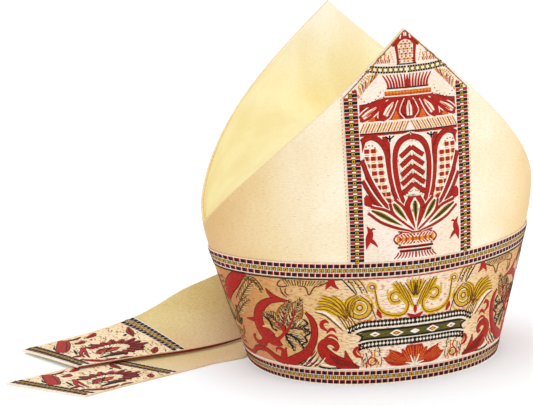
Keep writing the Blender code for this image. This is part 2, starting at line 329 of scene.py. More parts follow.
# ---- cutting and sewing ---------------------------------------------------------------
def cut(along, across, cells, lifts, place=None):
    """A rectangle of cloth, from its underside at one lift to its face at another.

    along and across are (from, to), and place(x, y) can bend the flat outline.
    """
    cloth = bmesh.new()
    grid = bmesh.ops.create_grid(cloth, x_segments=cells[0], y_segments=cells[1], size=1.0)
    for corner in grid["verts"]:
        x = along[0] + (along[1] - along[0]) * (corner.co.x + 1.0) / 2.0
        y = across[0] + (across[1] - across[0]) * (corner.co.y + 1.0) / 2.0
        corner.co = (*(place(x, y) if place else (x, y)), 0.0)
    sheet = bmesh.ops.extrude_face_region(cloth, geom=cloth.faces[:], use_keep_orig=True)
    raised = [item for item in sheet["geom"] if isinstance(item, bmesh.types.BMVert)]
    bmesh.ops.translate(cloth, vec=(0.0, 0.0, lifts[0]), verts=cloth.verts[:])
    bmesh.ops.translate(cloth, vec=(0.0, 0.0, lifts[1] - lifts[0]), verts=raised)
    bmesh.ops.recalc_face_normals(cloth, faces=cloth.faces[:])
    return cloth


def cut_off(pattern, place, outward):
    """Cut away what lies beyond a line through a place."""
    bmesh.ops.bisect_plane(pattern, geom=pattern.verts[:] + pattern.edges[:] + pattern.faces[:],
                           plane_co=place, plane_no=outward, clear_outer=True)


BASE = 0.06             # how far silk stands over its ground
LAYER = 0.12            # one layer of silk over another
PILE = 0.06             # how much the silk swells between its edges
SUNK = 0.05             # how far its edges go down into the ground
THINNEST = 0.05         # half width of the thinnest tip
WIDE = 1.6              # half width from which a float swells to a middle line
RING_STEPS = 3.5        # steps of a full ring for each millimetre of its radius


def follow(points, half_widths, spacing):
    """Rows (x, y, half width) of a smooth path through points, about `spacing` mm apart."""
    widths = np.broadcast_to(half_widths, len(points))
    rows = np.column_stack([np.array(points, dtype=float), widths])
    before, after = 2 * rows[0] - rows[1], 2 * rows[-1] - rows[-2]
    before[2], after[2] = rows[0][2], rows[-1][2]
    ends = np.vstack([before, rows, after])
    path = []
    for a, b, c, d in zip(ends, ends[1:], ends[2:], ends[3:]):
        steps = max(2, round(float(np.hypot(*(c - b)[:2])) / spacing))
        path += [through(a, b, c, d, step / steps) for step in range(steps)]
    path = np.array(path + [rows[-1]])
    path[:, 2] = np.maximum(path[:, 2], THINNEST)
    return path


def stitch(silk, points, half_widths, layer=1, spacing=2.0):
    """Lay silk along a path: its edges go into the ground and its middle swells."""
    path = follow(points, half_widths, spacing)
    heading = unit(np.gradient(path[:, :2], axis=0), 1e-9)
    last = len(path) - 1
    # A narrow float has two shoulders, and a wide one a middle line between them.
    columns, shoulder = (3, 0.75) if path[:, 2].max() < WIDE else (4, 0.9)
    grid = bmesh.ops.create_grid(silk, x_segments=last, y_segments=columns, size=1.0)["verts"]
    for corner in grid:
        row = round((corner.co.x + 1.0) / 2.0 * last)
        edge, middle = abs(corner.co.y) > 0.99, abs(corner.co.y) < 0.1
        aside = corner.co.y if edge or middle else math.copysign(shoulder, corner.co.y)
        x, y, half = path[row]
        lift = -SUNK if edge else BASE + layer * LAYER + PILE * (1.0 - aside ** 2)
        corner.co = (x - heading[row, 1] * half * aside, y + heading[row, 0] * half * aside, lift)


def tuft(silk, x, y, wide, high, layer=1):
    """A small flat-topped pillow of silk, such as a bead or one block of a check."""
    flat_share = 0.78
    for corner in bmesh.ops.create_grid(silk, x_segments=3, y_segments=3, size=1.0)["verts"]:
        inner = [abs(part) < 0.5 for part in corner.co.xy]
        spot = [math.copysign(flat_share, part) if near else part
                for part, near in zip(corner.co.xy, inner)]
        corner.co = (x + spot[0] * wide / 2.0, y + spot[1] * high / 2.0,
                     BASE + layer * LAYER + PILE if all(inner) else -SUNK)


def ring(silk, x, y, radius, half_width, layer=1, start=0.0, turn=360.0, squash=1.0):
    """A round or part round line of silk."""
    steps = max(6, round(radius * abs(turn) / 360.0 * RING_STEPS))
    angles = [math.radians(start + turn * step / steps) for step in range(steps + 1)]
    stitch(silk, [(x + radius * math.cos(angle), y + radius * math.sin(angle) * squash)
                  for angle in angles], half_width, layer)


def copy_over(silk, across=-1.0, shift=0.0):
    """Repeat all that is stitched so far, mirrored or shifted along the cloth."""
    first = silk.verts[:] + silk.edges[:] + silk.faces[:]
    copied = bmesh.ops.duplicate(silk, geom=first)["geom"]
    corners = [item for item in copied if isinstance(item, bmesh.types.BMVert)]
    bmesh.ops.scale(silk, vec=(across, 1.0, 1.0), verts=corners)
    bmesh.ops.translate(silk, vec=(shift, 0.0, 0.0), verts=corners)
    if across < 0.0:
        faces = [item for item in copied if isinstance(item, bmesh.types.BMFace)]
        bmesh.ops.reverse_faces(silk, faces=faces)


def dress(name, mesh, stands_for=()):
    """Let a finished piece ride on the mitre and stand for the CAD nodes that it replaces."""
    piece = bpy.data.objects.new(name, mesh)
    bpy.context.scene.collection.objects.link(piece)
    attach(piece, "root")
    if stands_for:
        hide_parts(*stands_for)
    return piece


def corner_places(mesh):
    flat = np.empty(len(mesh.vertices) * 3)
    mesh.vertices.foreach_get("co", flat)
    return flat.reshape(-1, 3)


def map_weave(mesh, flat):
    """Keep the cloth's own millimetres as a UV map for its weave."""
    corners = np.empty(len(mesh.loops), dtype=np.int32)
    mesh.loops.foreach_get("vertex_index", corners)
    mesh.uv_layers.new(name="cloth_mm").data.foreach_set("uv", flat[corners].ravel())


def sew(name, cloth, surface, finish, stands_for=(), crease=40.0):
    """Lay a flat pattern on a surface. Edges sharper than crease degrees stay sharp."""
    mesh = bpy.data.meshes.new(name)
    cloth.to_mesh(mesh)
    cloth.free()
    flat = corner_places(mesh)
    map_weave(mesh, flat[:, :2])
    mesh.vertices.foreach_set("co", (surface(*flat.T) * MM).ravel())
    mesh.update()
    mesh.materials.append(finish)
    mesh.shade_smooth()
    mesh.set_sharp_from_angle(angle=math.radians(crease))
    return dress(name, mesh, stands_for)


def piping(name, points, radius, finish, sides=2):
    """A sewn cord through points in millimetres."""
    line = bpy.data.curves.new(name + "_line", "CURVE")
    line.dimensions = "3D"
    line.bevel_depth = radius * MM
    line.bevel_resolution = sides
    line.use_fill_caps = True
    spline = line.splines.new("POLY")
    spline.points.add(len(points) - 1)
    for point, place in zip(spline.points, points):
        point.co = (*(place * MM), 1.0)
    guide = bpy.data.objects.new(name + "_guide", line)
    bpy.context.scene.collection.objects.link(guide)
    drawn = guide.evaluated_get(bpy.context.evaluated_depsgraph_get())
    mesh = bpy.data.meshes.new_from_object(drawn)
    bpy.data.objects.remove(guide)
    mesh.name = name
    places = corner_places(mesh) / MM
    map_weave(mesh, np.stack([places[:, 0] + places[:, 1], places[:, 2]], axis=1))
    mesh.materials.clear()
    mesh.materials.append(finish)
    mesh.shade_smooth()
    return dress(name, mesh)


# ---- finishes -------------------------------------------------------------------------
def linear(colour):
    """The shader's linear values of an sRGB hex colour."""
    channels = [int(colour[i:i + 2], 16) / 255.0 for i in (0, 2, 4)]
    return (*[c / 12.92 if c < 0.04045 else ((c + 0.055) / 1.055) ** 2.4 for c in channels], 1.0)


def add(material, kind, inputs=(), stops=(), give=0, **settings):
    """Add a node and give one of its outputs.

    Inputs are (socket, value or another node's output), and stops are a ramp's colours.
    """
    node = material.node_tree.nodes.new(kind)
    for setting, value in settings.items():
        setattr(node, setting, value)
    for socket, value in inputs:
        if isinstance(value, bpy.types.NodeSocket):
            material.node_tree.links.new(value, node.inputs[socket])
        else:
            node.inputs[socket].default_value = value
    for index, (place, colour) in enumerate(stops):
        ramp = node.color_ramp.elements
        stop = ramp[index] if index < 2 else ramp.new(place)
        stop.position = place
        stop.color = linear(colour) if isinstance(colour, str) else (colour, colour, colour, 1.0)
    return node.outputs[give]


def plain_finish(name, colour, *settings):
    """A material with constants, as (socket, value), on its shader's own sockets."""
    material = bpy.data.materials.new(name)
    material.use_nodes = True
    material.diffuse_color = linear(colour)
    shader = material.node_tree.nodes["Principled BSDF"]
    for socket, value in (("Base Color", linear(colour)), *settings):
        shader.inputs[socket].default_value = value
    return material


def cloth_finish(name, roughness, sheen, colour, specular=0.3):
    """A cloth material: rough and softly sheened, still without its weave."""
    return plain_finish(name, colour, ("Roughness", roughness), ("IOR", 1.5),
                        ("Specular IOR Level", specular), ("Sheen Weight", sheen),
                        ("Sheen Roughness", 0.4))


def grain(material, along, across, detail, stops, roughness=0.5):
    """Noise in cells of the cloth's own millimetres, and the colours that it gives."""
    weave = add(material, "ShaderNodeUVMap", uv_map="cloth_mm")
    cells = add(material, "ShaderNodeMapping", [
        ("Vector", weave), ("Scale", (1.0 / along, 1.0 / across, 1.0))])
    noise = add(material, "ShaderNodeTexNoise", [
        ("Vector", cells), ("Scale", 1.0), ("Detail", detail), ("Roughness", roughness)],
        noise_dimensions="2D")
    return noise, add(material, "ShaderNodeValToRGB", [("Fac", noise)], stops)


def finish_shader(material, colour, height, depth):
    """Give the shader its colour and a bump of `depth` millimetres."""
    shader = material.node_tree.nodes["Principled BSDF"]
    bump = add(material, "ShaderNodeBump", [
        ("Height", height), ("Distance", depth * MM), ("Strength", 0.5)])
    material.node_tree.links.new(colour, shader.inputs["Base Color"])
    material.node_tree.links.new(bump, shader.inputs["Normal"])


# Cells of the cloths' noise in millimetres, along and across the weft. A silk float is about
# 0.3 mm thick and is drawn coarser, or it would not show.
RIB_LONG = 3.0
FLECK = (4.0, 0.9)
AGED_PATCH = (45.0, 45.0)
SILK_FLOAT = (3.5, 0.8)


def ribbed_cloth(name, roughness, sheen, colour, shade, fleck, rib, slub, few=0.2, axis="X",
                 start=0.0, length=165.0, dye=((0.0, "FFFFFF"), (1.0, "FFFFFF"))):
    """Cloth with weft ribs, flecks of darker weft, and painted shade and light that change along one
    axis.

    The ribs are `rib` mm apart, and the flecks show as strongly as `slub` and grow denser
    with `few`. The shade ramp paints light and shade: it runs from start over length, in
    millimetres of the cloth for X and Y and in metres of height for Z, and is mirrored past its end.
    """
    material = cloth_finish(name, roughness, sheen, colour)
    ribs, tone = grain(material, RIB_LONG, rib, 2.0, [(0.25, shade), (0.62, colour)], 0.6)
    sparse = grain(material, *FLECK, 0.0, [(max(0.0, few - 0.15), slub), (few, 0.0)])[1]
    patchy = grain(material, *AGED_PATCH, 3.0, [(0.35, "FBF6EC"), (0.6, "FFFFFF")])[1]
    if axis == "Z":
        source = add(material, "ShaderNodeTexCoord", give="Object")
    else:
        source = add(material, "ShaderNodeUVMap", uv_map="cloth_mm")
    share = add(material, "ShaderNodeSeparateXYZ", [("Vector", source)], give=axis)
    for operation, number in (("SUBTRACT", start), ("PINGPONG", length), ("DIVIDE", length)):
        share = add(material, "ShaderNodeMath", [(0, share), (1, number)], operation=operation)
    # Painted shade and light: a colour ramp along the axis, multiplied into the cloth's colour.
    painted_shade = add(material, "ShaderNodeValToRGB", [("Fac", share)], dye)
    for tint in (patchy, painted_shade):
        tone = add(material, "ShaderNodeMix", [(0, 1.0), (6, tone), (7, tint)], give=2,
                   data_type="RGBA", blend_type="MULTIPLY")
    flecked = add(material, "ShaderNodeMix", [(0, sparse), (6, tone), (7, linear(fleck))],
                  give=2, data_type="RGBA")
    finish_shader(material, flecked, ribs, 0.12)
    return material


def floss(name, colour, shade):
    """Silk brocading weft: short floats that lie side by side and shine along one another."""
    material = cloth_finish(name, 0.6, 0.03, colour, 0.2)
    floats, tone = grain(material, *SILK_FLOAT, 1.0, [(0.3, shade), (0.6, colour)])
    finish_shader(material, tone, floats, 0.15)
    return material


# Cotton and silk ottoman: matt cream, its fine ribs broken by slubs of browner weft, and
# painted tanner towards the side seams as shade where the wall turns from the light. The ribs
# of about 0.7 mm are drawn coarser, or they would not show.
ottoman = ribbed_cloth("cream ottoman", 0.75, 0.1, "FAEFD6", "F3E3C4", "B98A50", 1.1, 0.5,
                       length=200.0, dye=((0.36, "FFFFFF"), (0.58, "F4E5C6"), (0.85, "E4C8A0")))
# The same cloth on the lappets, painted darker and yellower as shade, and pinker towards the lower
# edge.
ottoman_lappet = ribbed_cloth("aged cream ottoman", 0.75, 0.1, "FFFFFF", "F3E8D6", "A87840",
                              1.1, 0.6, axis="Y", start=-36.0, length=72.0,
                              dye=((0.0, "DCCA8E"), (0.5, "DFCC98"), (1.0, "E6CEA8")))
# Yellow cotton sateen: smooth, paler where the peaks let the light in.
lining_satin = ribbed_cloth("yellow cotton lining", 0.7, 0.2, "FFFFFF", "FBF7EC", "D8BE74", 1.4,
                            0.3, axis="Z", start=0.13, length=0.15,
                            dye=((0.0, "ECDA98"), (0.4, "ECDDA0"), (0.68, "F1E6BC"),
                                 (0.95, "F8F2E4")))
# Dark red cotton behind the lappets: matt, and only a rolled edge of it shows, drawn deep
# enough to stand also as painted shadow under the far lappet's lower edge.
red_edge_and_shadow = ribbed_cloth("dark red lappet lining", 0.75, 0.1, "8C2A18", "6E1C10", "3C0806",
                             1.1, 0.4)
# Silk and cotton binding over the seam cords: a shade browner than the cloth beside it.
seam_cord = ribbed_cloth("tan seam binding", 0.7, 0.1, "EFDAAE", "E0C28A", "A87840", 1.2, 0.5)
# Brocade ground: white repp, painted orange tan towards the sides as shade where the band
# turns from the light, with specks of red weft between the figures. Its ribs of about 0.5 mm
# are drawn coarser too.
brocade_ground = ribbed_cloth("tan brocade ground", 0.65, 0.15, "FFFFFF", "EFDFCE", "B4583C", 1.3,
                              0.7, few=0.4, dye=((0.0, "F8EADE"), (0.19, "F5E2CA"),
                                                 (0.29, "EFD6AE"), (0.46, "E5C28A"),
                                                 (0.6, "DBB176"), (0.74, "D09C5E"),
                                                 (0.9, "C68650")))
# The same repp on the lappets' ends, cream all over.
lappet_brocade = ribbed_cloth("cream brocade ground", 0.65, 0.15, "F5E6C6", "E6D09E", "B4583C",
                              1.3, 0.7, few=0.4)
# The titulus has the whitest repp, and its specks are only pink.
titulus_cloth = ribbed_cloth("white brocade ground", 0.65, 0.15, "F6E9D9", "ECD8C6", "DD9A84",
                             1.3, 0.5, few=0.3)
# Galloon ground: bleached silk with a faint pink cast where the red weft shows through.
galloon_ground = ribbed_cloth("white silk galloon", 0.6, 0.2, "F8EEE0", "ECD6C4", "D98C7A",
                              1.2, 0.6)
# Dyed silk floss: each colour is streaked with its own shade, as floats catch the light.
silks = {name: floss(full_name, colour, shade) for name, full_name, colour, shade in (
    ("red", "red silk", "B21C0C", "8C1206"),
    ("maroon", "maroon silk", "5C0F0B", "3C0806"),
    ("black", "black silk", "140C08", "080504"),
    ("gold", "gold silk", "E0B11A", "BC8C10"),
    ("brown", "brown silk", "74400E", "502A0A"),
    ("bronze", "bronze silk", "A46E28", "7A4A14"),
    ("tan", "tan silk", "DDB878", "C2965A"),
    ("rust", "pale rust silk", "D08A5E", "BC7048"),
    ("olive", "olive silk", "63591C", "463E10"),
    ("orange", "orange silk", "DC6A1E", "BF4812"),
    ("lotus", "vermilion silk", "B42812", "8C1C0C"),
    ("white", "white silk", "F7EDDC", "EAD6BC"))}

# ---- the wall's pieces ----------------------------------------------------------------
SIDE_SEAM = 165.0       # pattern millimetres from the front's centre to the side seam
EVEN_FRONT = 100.0      # how far from the centre the band's pattern is even
SLACK = 0.05            # so that the ends of a ring don't touch
SHIELD_CELLS = (120, 64)
RING_COLUMNS = 220
TITULUS_ROWS = 44
TRIM_CELL = 4.0         # length of a grid cell across a trim
TITULUS_CELL = 5.0


def band(along, level, lift):
    """The band's outer face: the pattern is even in front and eases to fit at the sides."""
    behind = np.abs(along) > SIDE_SEAM
    near = np.where(behind, 2.0 * SIDE_SEAM - np.abs(along), np.abs(along))
    ease = smooth(np.clip((near - EVEN_FRONT) / (SIDE_SEAM - EVEN_FRONT), 0.0, 1.0))
    girth = quarter_girth(level)
    near = near * (1.0 + (girth / SIDE_SEAM - 1.0) * ease)
    around = np.where(behind, 2.0 * girth - near, near)
    return trim_face(np.copysign(around, along), level, lift)


def shield_place(share, rise):
    level = rise * top_at_share(share)
    girth = quarter_girth(level)
    return np.clip(share * girth, GAP / 2.0 - girth, girth - GAP / 2.0), level


def upright_place(along, rise):
    low = BAND_TOP + GAP
    return along, low + (top_at_distance(along) - GAP - low) * rise


for node, surface in (("front_shield", wall), ("back_shield", back_wall)):
    cloth = cut((-1.0, 1.0), (0.0, 1.0), SHIELD_CELLS, (-WALL, 0.0), shield_place)
    shield = sew(node.replace("shield", "half"), cloth, surface, ottoman, [node])

FOLD_LONG, FOLD_ACROSS = 250.0, 120.0   # flat half length and half width of the lining
fold_reach = FOLD_LONG * GUSSET_REACH
cloth = cut((-fold_reach, fold_reach), (-FOLD_ACROSS, FOLD_ACROSS), SHIELD_CELLS, (0.0, LINING))
fold = sew("lining_between_peaks", cloth,
           lambda along, across, lift: gusset(along / FOLD_LONG, across / FOLD_ACROSS, lift),
           lining_satin, ["gusset_lining"])

BAND_LOW, BAND_HIGH = GALLOON + GAP, BAND_TOP - GALLOON - GAP
ring_ends = (SLACK - 2.0 * SIDE_SEAM, 2.0 * SIDE_SEAM - SLACK)
for name, node, low, high, finish, slot in (
        ("circulus_ground", "circulus_brocade", BAND_LOW, BAND_HIGH, brocade_ground, "brocade"),
        ("hem_galloon_ground", "circulus_galloon_hem", 0.0, GALLOON, galloon_ground, "galloon"),
        ("top_galloon_ground", "circulus_galloon_top", BAND_TOP - GALLOON, BAND_TOP,
         galloon_ground, "galloon")):
    rows = max(3, round((high - low) / TRIM_CELL))
    cloth = cut(ring_ends, (low, high), (RING_COLUMNS, rows), (-FACING, 0.0))
    sew(name, cloth, band, finish, [node])

titulus_inner = TITULUS_HALF - TITULUS_GALLOON
for name, node, left, right, finish, slot in (
        ("titulus_ground", "titulus_brocade", GAP - titulus_inner, titulus_inner - GAP,
         titulus_cloth, "brocade"),
        ("titulus_left_ground", "titulus_galloon_left", -TITULUS_HALF, -titulus_inner,
         galloon_ground, "galloon"),
        ("titulus_right_ground", "titulus_galloon_right", titulus_inner, TITULUS_HALF,
         galloon_ground, "galloon")):
    columns = 2 * math.ceil((right - left) / TITULUS_CELL)
    cloth = cut((left, right), (0.0, 1.0), (columns, TITULUS_ROWS), (-FACING, 0.0), upright_place)
    sew(name, cloth, trim_face, finish, [node])


# ---- the lappets ----------------------------------------------------------------------
RIBBON_CELLS = (150, 16)
ROLL_COLUMNS = 110
# The far lappet's dark red edge is partly its lining and partly painted shadow.
ROLL_FROM = 150.0       # run from which the far lappet's lining shows


def hem_corner(along, across):
    """The near lappet spreads towards its lower edge where it is pressed to the hem."""
    fuller = np.interp(along, *zip(*HEM_CORNER)) * near_run.foot / NEAR_ROUTE[0][4]
    return along, across + fuller * max(0.0, 2.0 * across / near_run.foot)


for side, run in (("near", near_run), ("far", far_run)):
    half = run.foot / 2.0
    trim_half = half - 0.2
    end = run.end - LAPPET_HEM
    brocade_end = end - LAPPET_GALLOON - GAP
    head_end = brocade_end - LAPPET_BROCADE - GAP
    cloth = cut((0.0, run.end), (-half, half), RIBBON_CELLS, (0.0, RIBBON),
                hem_corner if side == "near" else None)
    lappet = sew(side + "_ribbon", cloth, run, ottoman_lappet, [side + "_lappet"])
    for part, node, stop, length, finish, slot in (
            ("_end_ground", "_galloon_end", end, LAPPET_GALLOON, galloon_ground, "galloon"),
            ("_brocade_ground", "_brocade", brocade_end, LAPPET_BROCADE, lappet_brocade, "brocade"),
            ("_head_ground", "_galloon_head", head_end, LAPPET_GALLOON, galloon_ground, "galloon")):
        cells = (max(3, round(length / TRIM_CELL)), RIBBON_CELLS[1])
        cloth = cut((stop - length, stop), (-trim_half, trim_half), cells, TRIM)
        sew(side + part, cloth, run, finish, [side + "_lappet" + node])
    # The turned hem wraps the end of the ribbon, a little beyond it on every side.
    cloth = cut((end + GAP, run.end + 0.2), (-half - 0.1, half + 0.1), (3, RIBBON_CELLS[1]),
                (-0.05, RIBBON + 0.1))
    sew(side + "_end_hem", cloth, run, galloon_ground)
    if side == "far":
        # The lining is rolled round the lower edge, and then down below it, where the dark red
        # also stands as painted shadow between the lappets.
        cloth = cut((ROLL_FROM, run.end - 1.0), (half - 0.25, half + 0.35), (ROLL_COLUMNS, 1),
                    (-1.0, 0.7 * RIBBON))
        for corner in cloth.verts:
            if corner.co.z < 0.0:
                corner.co.z = -np.interp(corner.co.x, *zip(*LINING_AND_SHADOW_DROP))
        sew("far_lining_edge", cloth, run, red_edge_and_shadow)


# ---- ornament -------------------------------------------------------------------------
RIM = 0.4               # how far an edging shows beyond its stroke
UNDER = 0.6             # layers that an edging lies under its stroke


def open_palette():
    """An empty pattern for each silk, and draw to stitch strokes of one silk into it.

    Each stroke is its points and its half width, or a half width for each point.
    """
    palette = {name: bmesh.new() for name in silks}

    def draw(silk, layer, *strokes, edging=None, spacing=2.0):
        for points, half_widths in zip(strokes[::2], strokes[1::2]):
            stitch(palette[silk], points, half_widths, layer, spacing)
            if edging:
                stitch(palette[edging], points, np.array(half_widths) + RIM, layer - UNDER)

    return palette, draw


def sew_palette(area, palette, surface):
    """Sew all silks of an area as one piece each."""
    for name, pattern in palette.items():
        if pattern.verts:
            sew(area + "_" + name, pattern, surface, silks[name], crease=60.0)


def gold_block(palette, x, y, *sizes):
    """A black block with a gold one and a brown one on it."""
    for layer, (silk, size) in enumerate(zip(("black", "gold", "brown"), sizes), 1):
        tuft(palette[silk], x, y, *size, layer)


def check_galloon(palette, length, rows, place, pitch, under="red"):
    """Two rows of black and red blocks with a row of gold and brown between them."""
    for index in range(round(length / pitch)):
        at = (index + 0.5) * pitch - length / 2.0
        for row in (rows[0], rows[2]):
            tuft(palette[under], *place(at, row), *place(4.4, 3.4), 1)
            tuft(palette["black"], *place(at - 0.3, row - 0.15), *place(3.6, 3.0), 2)
        gold_block(palette, *place(at + pitch / 2.0, rows[1]),
                   place(4.4, 3.2), place(3.7, 2.5), place(1.8, 1.5))


RING_LENGTH, RING_BLOCKS = 660.0, 139
RING_ROWS = ((9.8, 6.2, 2.6), (98.6, 94.9, 91.2))   # levels of each ring's rows of blocks
palette, draw = open_palette()
for rows in RING_ROWS:
    check_galloon(palette, RING_LENGTH, rows, lambda along, row: (along, row),
                  RING_LENGTH / RING_BLOCKS)
sew_palette("ring_galloons", palette, band)


def hatch(draw, silk, start, end, first, last, count, half_width, layer=2):
    """Even floats from the line start-end to the line first-last."""
    for share in np.linspace(0.0, 1.0, count):
        draw(silk, layer, np.array((start, first)) * (1.0 - share) + np.array((end, last)) * share,
             half_width)


def barbs(draw, silk, vein, reach, lean, count, half_width, layer=3):
    """Short floats that spring forward from both sides of a vein, like a feather's."""
    path = follow(vein, 1.0, 1.0)[:, :2]
    heading = unit(np.gradient(path, axis=0))
    for step in range(count):
        share = (step + 0.5) / count
        row = round(share * (len(path) - 1))
        # Longest a third of the way out and shortest at the tip.
        long = reach * math.sin(math.pi * (0.3 + 0.66 * share)) ** 0.8
        for turn in (-math.radians(lean), math.radians(lean)):
            x, y = heading[row]
            ahead = np.array((x * math.cos(turn) - y * math.sin(turn),
                              x * math.sin(turn) + y * math.cos(turn)))
            draw(silk, layer, [path[row], path[row] + ahead * long],
                 [half_width, half_width * 0.6])


def beside(points, aside):
    """The same points moved sideways."""
    across = np.subtract(points[-1], points[0])
    across = np.array((-across[1], across[0])) / np.hypot(*across)
    return [(x + across[0] * aside, y + across[1] * aside) for x, y in points]


def bead_row(palette, silk, points, pitch, wide, high, layer=2):
    """Even tufts along a path."""
    path = follow(points, 1.0, 1.0)[:, :2]
    length = distances(*path.T)
    for x, y in read_rows(np.arange(pitch / 2.0, length[-1], pitch), length, path):
        tuft(palette[silk], x, y, wide, high, layer)


def rinceau(draw, palette):
    """Red scroll round a vine leaf, at the side of the band."""
    draw("red", 1,
         [(-104, 16), (-96, 19), (-88, 24), (-82.5, 31), (-79.5, 40), (-79.5, 49), (-82, 56),
          (-86.5, 61)], [3, 4.2, 4, 3.2, 2.8, 2.6, 2, 0.8],
         [(-100, 69.5), (-108, 70), (-117, 68), (-124, 62), (-128, 54), (-128.5, 46), (-125.5, 39),
          (-119, 34.5), (-112, 32), (-107, 30)], [0.6, 1.6, 2.6, 3.6, 4.2, 5, 5.5, 5, 3.6, 0.6],
         [(-128, 49), (-135, 48.5), (-142, 48)], [3.5, 1.6, 0.2],
         [(-125, 42), (-119, 40.5), (-113.5, 38.5)], [4, 2, 0.3],
         [(-106, 70.5), (-112, 72), (-116, 75), (-118.5, 79)], [1, 1.8, 1.4, 0.2],
         [(-124, 33), (-127, 29), (-133, 27.8), (-137.5, 29.5), (-138.5, 33), (-135.5, 35)],
         [4, 3.2, 2.2, 1.8, 1.4, 0.4],
         [(-165, 15), (-150, 15.5), (-140, 21.5), (-132, 23.3), (-124, 22.5), (-116, 18.5), (-108, 16),
          (-100, 16.5), (-94, 19)], [1.8, 1.8, 2.2, 2.2, 2.2, 2.6, 3, 3.4, 4], edging="black")
    draw("red", 1, [(-106, 17), (-106, 22), (-103.5, 29)], [3.5, 3.5, 0.3],
         [(-105, 23), (-109, 27), (-113, 26.5), (-113.8, 23)], [3, 1.6, 1.2, 0.3])
    draw("red", 2, [(-122, 36), (-114, 34), (-108, 37.5), (-103.5, 43.5)], [2.2, 1.8, 1.5, 1.3])
    # The vine leaf: bronze lobes and white ones, barbed in brown and black.
    for vein, widths, reach in (
            ([(-104, 43), (-99.5, 53), (-94.5, 63), (-89.5, 73)], [2.5, 7.6, 7, 0.6], 8.5),
            ([(-105, 45), (-105.5, 54), (-103, 62), (-99, 70.5)], [2.5, 6, 5.4, 0.6], 6.5),
            ([(-106, 45), (-110.5, 50.5), (-115.5, 55), (-123, 56)], [2.5, 5.6, 4.8, 0.5], 6.5)):
        draw("bronze", 1, vein, widths, edging="brown")
        barbs(draw, "tan", vein, reach, 34, 11, 0.5, 2)
        barbs(draw, "white", vein, reach * 0.62, 36, 9, 0.42, 3)
        barbs(draw, "brown", vein, reach * 0.9, 42, 9, 0.42, 4)
        barbs(draw, "black", vein, reach * 0.5, 30, 7, 0.36, 5)
    for vein, widths, reach in (
            ([(-100, 45), (-94, 48.5), (-89, 48), (-84, 44)], [2, 6.6, 6.4, 0.8], 7),
            ([(-101, 42), (-95, 39), (-90, 35), (-87.5, 29)], [1.5, 5.2, 4.4, 0.5], 5.5),
            ([(-103, 40), (-101, 36), (-98, 32), (-96, 26.5)], [1, 3.2, 3.2, 0.4], 3.5)):
        draw("tan", 1, vein, widths, edging="brown")
        barbs(draw, "white", vein, reach * 0.9, 36, 8, 0.5, 2)
        barbs(draw, "brown", vein, reach, 42, 10, 0.45, 3)
        barbs(draw, "black", vein, reach * 0.7, 30, 6, 0.38, 4)
    draw("black", 3, [(-88, 55), (-84.5, 51.5), (-88, 48.5), (-82.8, 44), (-87, 40), (-85, 36),
          (-89, 33.5), (-88, 28.5)], 0.8, spacing=1.5)
    draw("black", 5, [(-122.5, 54.5), (-117, 49.5), (-115.5, 45), (-111, 42.5)], [0.5, 0.8, 0.9, 0.5])
    draw("tan", 3, [(-125, 44.5), (-119, 45.5), (-113, 44)], [0.4, 2, 0.8])
    draw("black", 4, [(-103.5, 41), (-98, 40), (-93, 37), (-89, 32)], [0.9, 1, 0.8, 0.3],
         [(-103.5, 40), (-101.5, 35), (-98, 31), (-96.5, 27)], [0.8, 1, 0.8, 0.3])
    draw("red", 6, [(-104, 42), (-100, 47), (-97, 54), (-94.5, 63)], [1.5, 1.2, 1, 0.5],
         [(-104, 42), (-108, 48), (-114, 53.5)], [1.4, 1.1, 0.4],
         [(-104, 43), (-104.8, 51), (-103.5, 59)], [1, 0.8, 0.4])
    draw("rust", 0, [(-124, 29.5), (-117, 28), (-110, 24.5)], [2.0, 4.2, 3.0],
         [(-142, 15), (-130, 16.8), (-118, 14.6)], [0.8, 3.2, 0.8])
    # The scroll that comes over from the side, with a thistle and its outlined leaves.
    draw("red", 1, [(-165, 58), (-156, 70), (-147, 79), (-140, 86), (-133, 89)], [3, 5, 5.6, 4.4, 1],
         edging="black")
    draw("bronze", 1, [(-165, 33), (-159, 31), (-154, 34), (-152, 39)], [2.2, 2, 1.2, 0.3],
         edging="black")
    for vein, reach in (([(-157, 47), (-150, 52), (-142, 60), (-134, 66)], 5.5),
                        ([(-145, 62), (-139, 70), (-133, 78), (-127, 85)], 6.5),
                        ([(-136, 84), (-129, 85), (-124, 80), (-122, 75)], 4.0)):
        draw("tan", 0, vein, [0.5, 3.4, 3.4, 0.4])
        barbs(draw, "brown", vein, reach, 36, 11, 0.38, 2)
        barbs(draw, "tan", vein, reach, 46, 10, 0.5, 1)
        draw("brown", 3, vein, [0.4, 0.6, 0.6, 0.3])
        draw("brown", 3, beside(vein, reach * 0.62), [0.3, 0.5, 0.5, 0.3])
    # Half a palmette on the side seam; its other half comes from the mirrored copy.
    for points, silk in (([(-164, 42), (-161, 52), (-163, 64)], "tan"),
                         ([(-163, 41), (-155.5, 47), (-153, 57)], "bronze"),
                         ([(-163, 40), (-156, 41), (-150, 46)], "olive")):
        draw(silk, 2, points, [0.6, 2.2, 0.5], edging="black")
        draw("black", 3, points, 0.5)
    for level in (20.0, 24.5, 69.0, 73.5, 78.0):
        draw("bronze", 1, [(-164.4, level), (-159, level + 2.5), (-156, level + 1.0)], [0.4, 1.2, 0.3])
        draw("brown", 2, [(-164.4, level + 1.4), (-159, level + 3.9)], 0.4)
    ring(palette["gold"], -165, 86, 3.2, 0.7, 1, -90, 180)


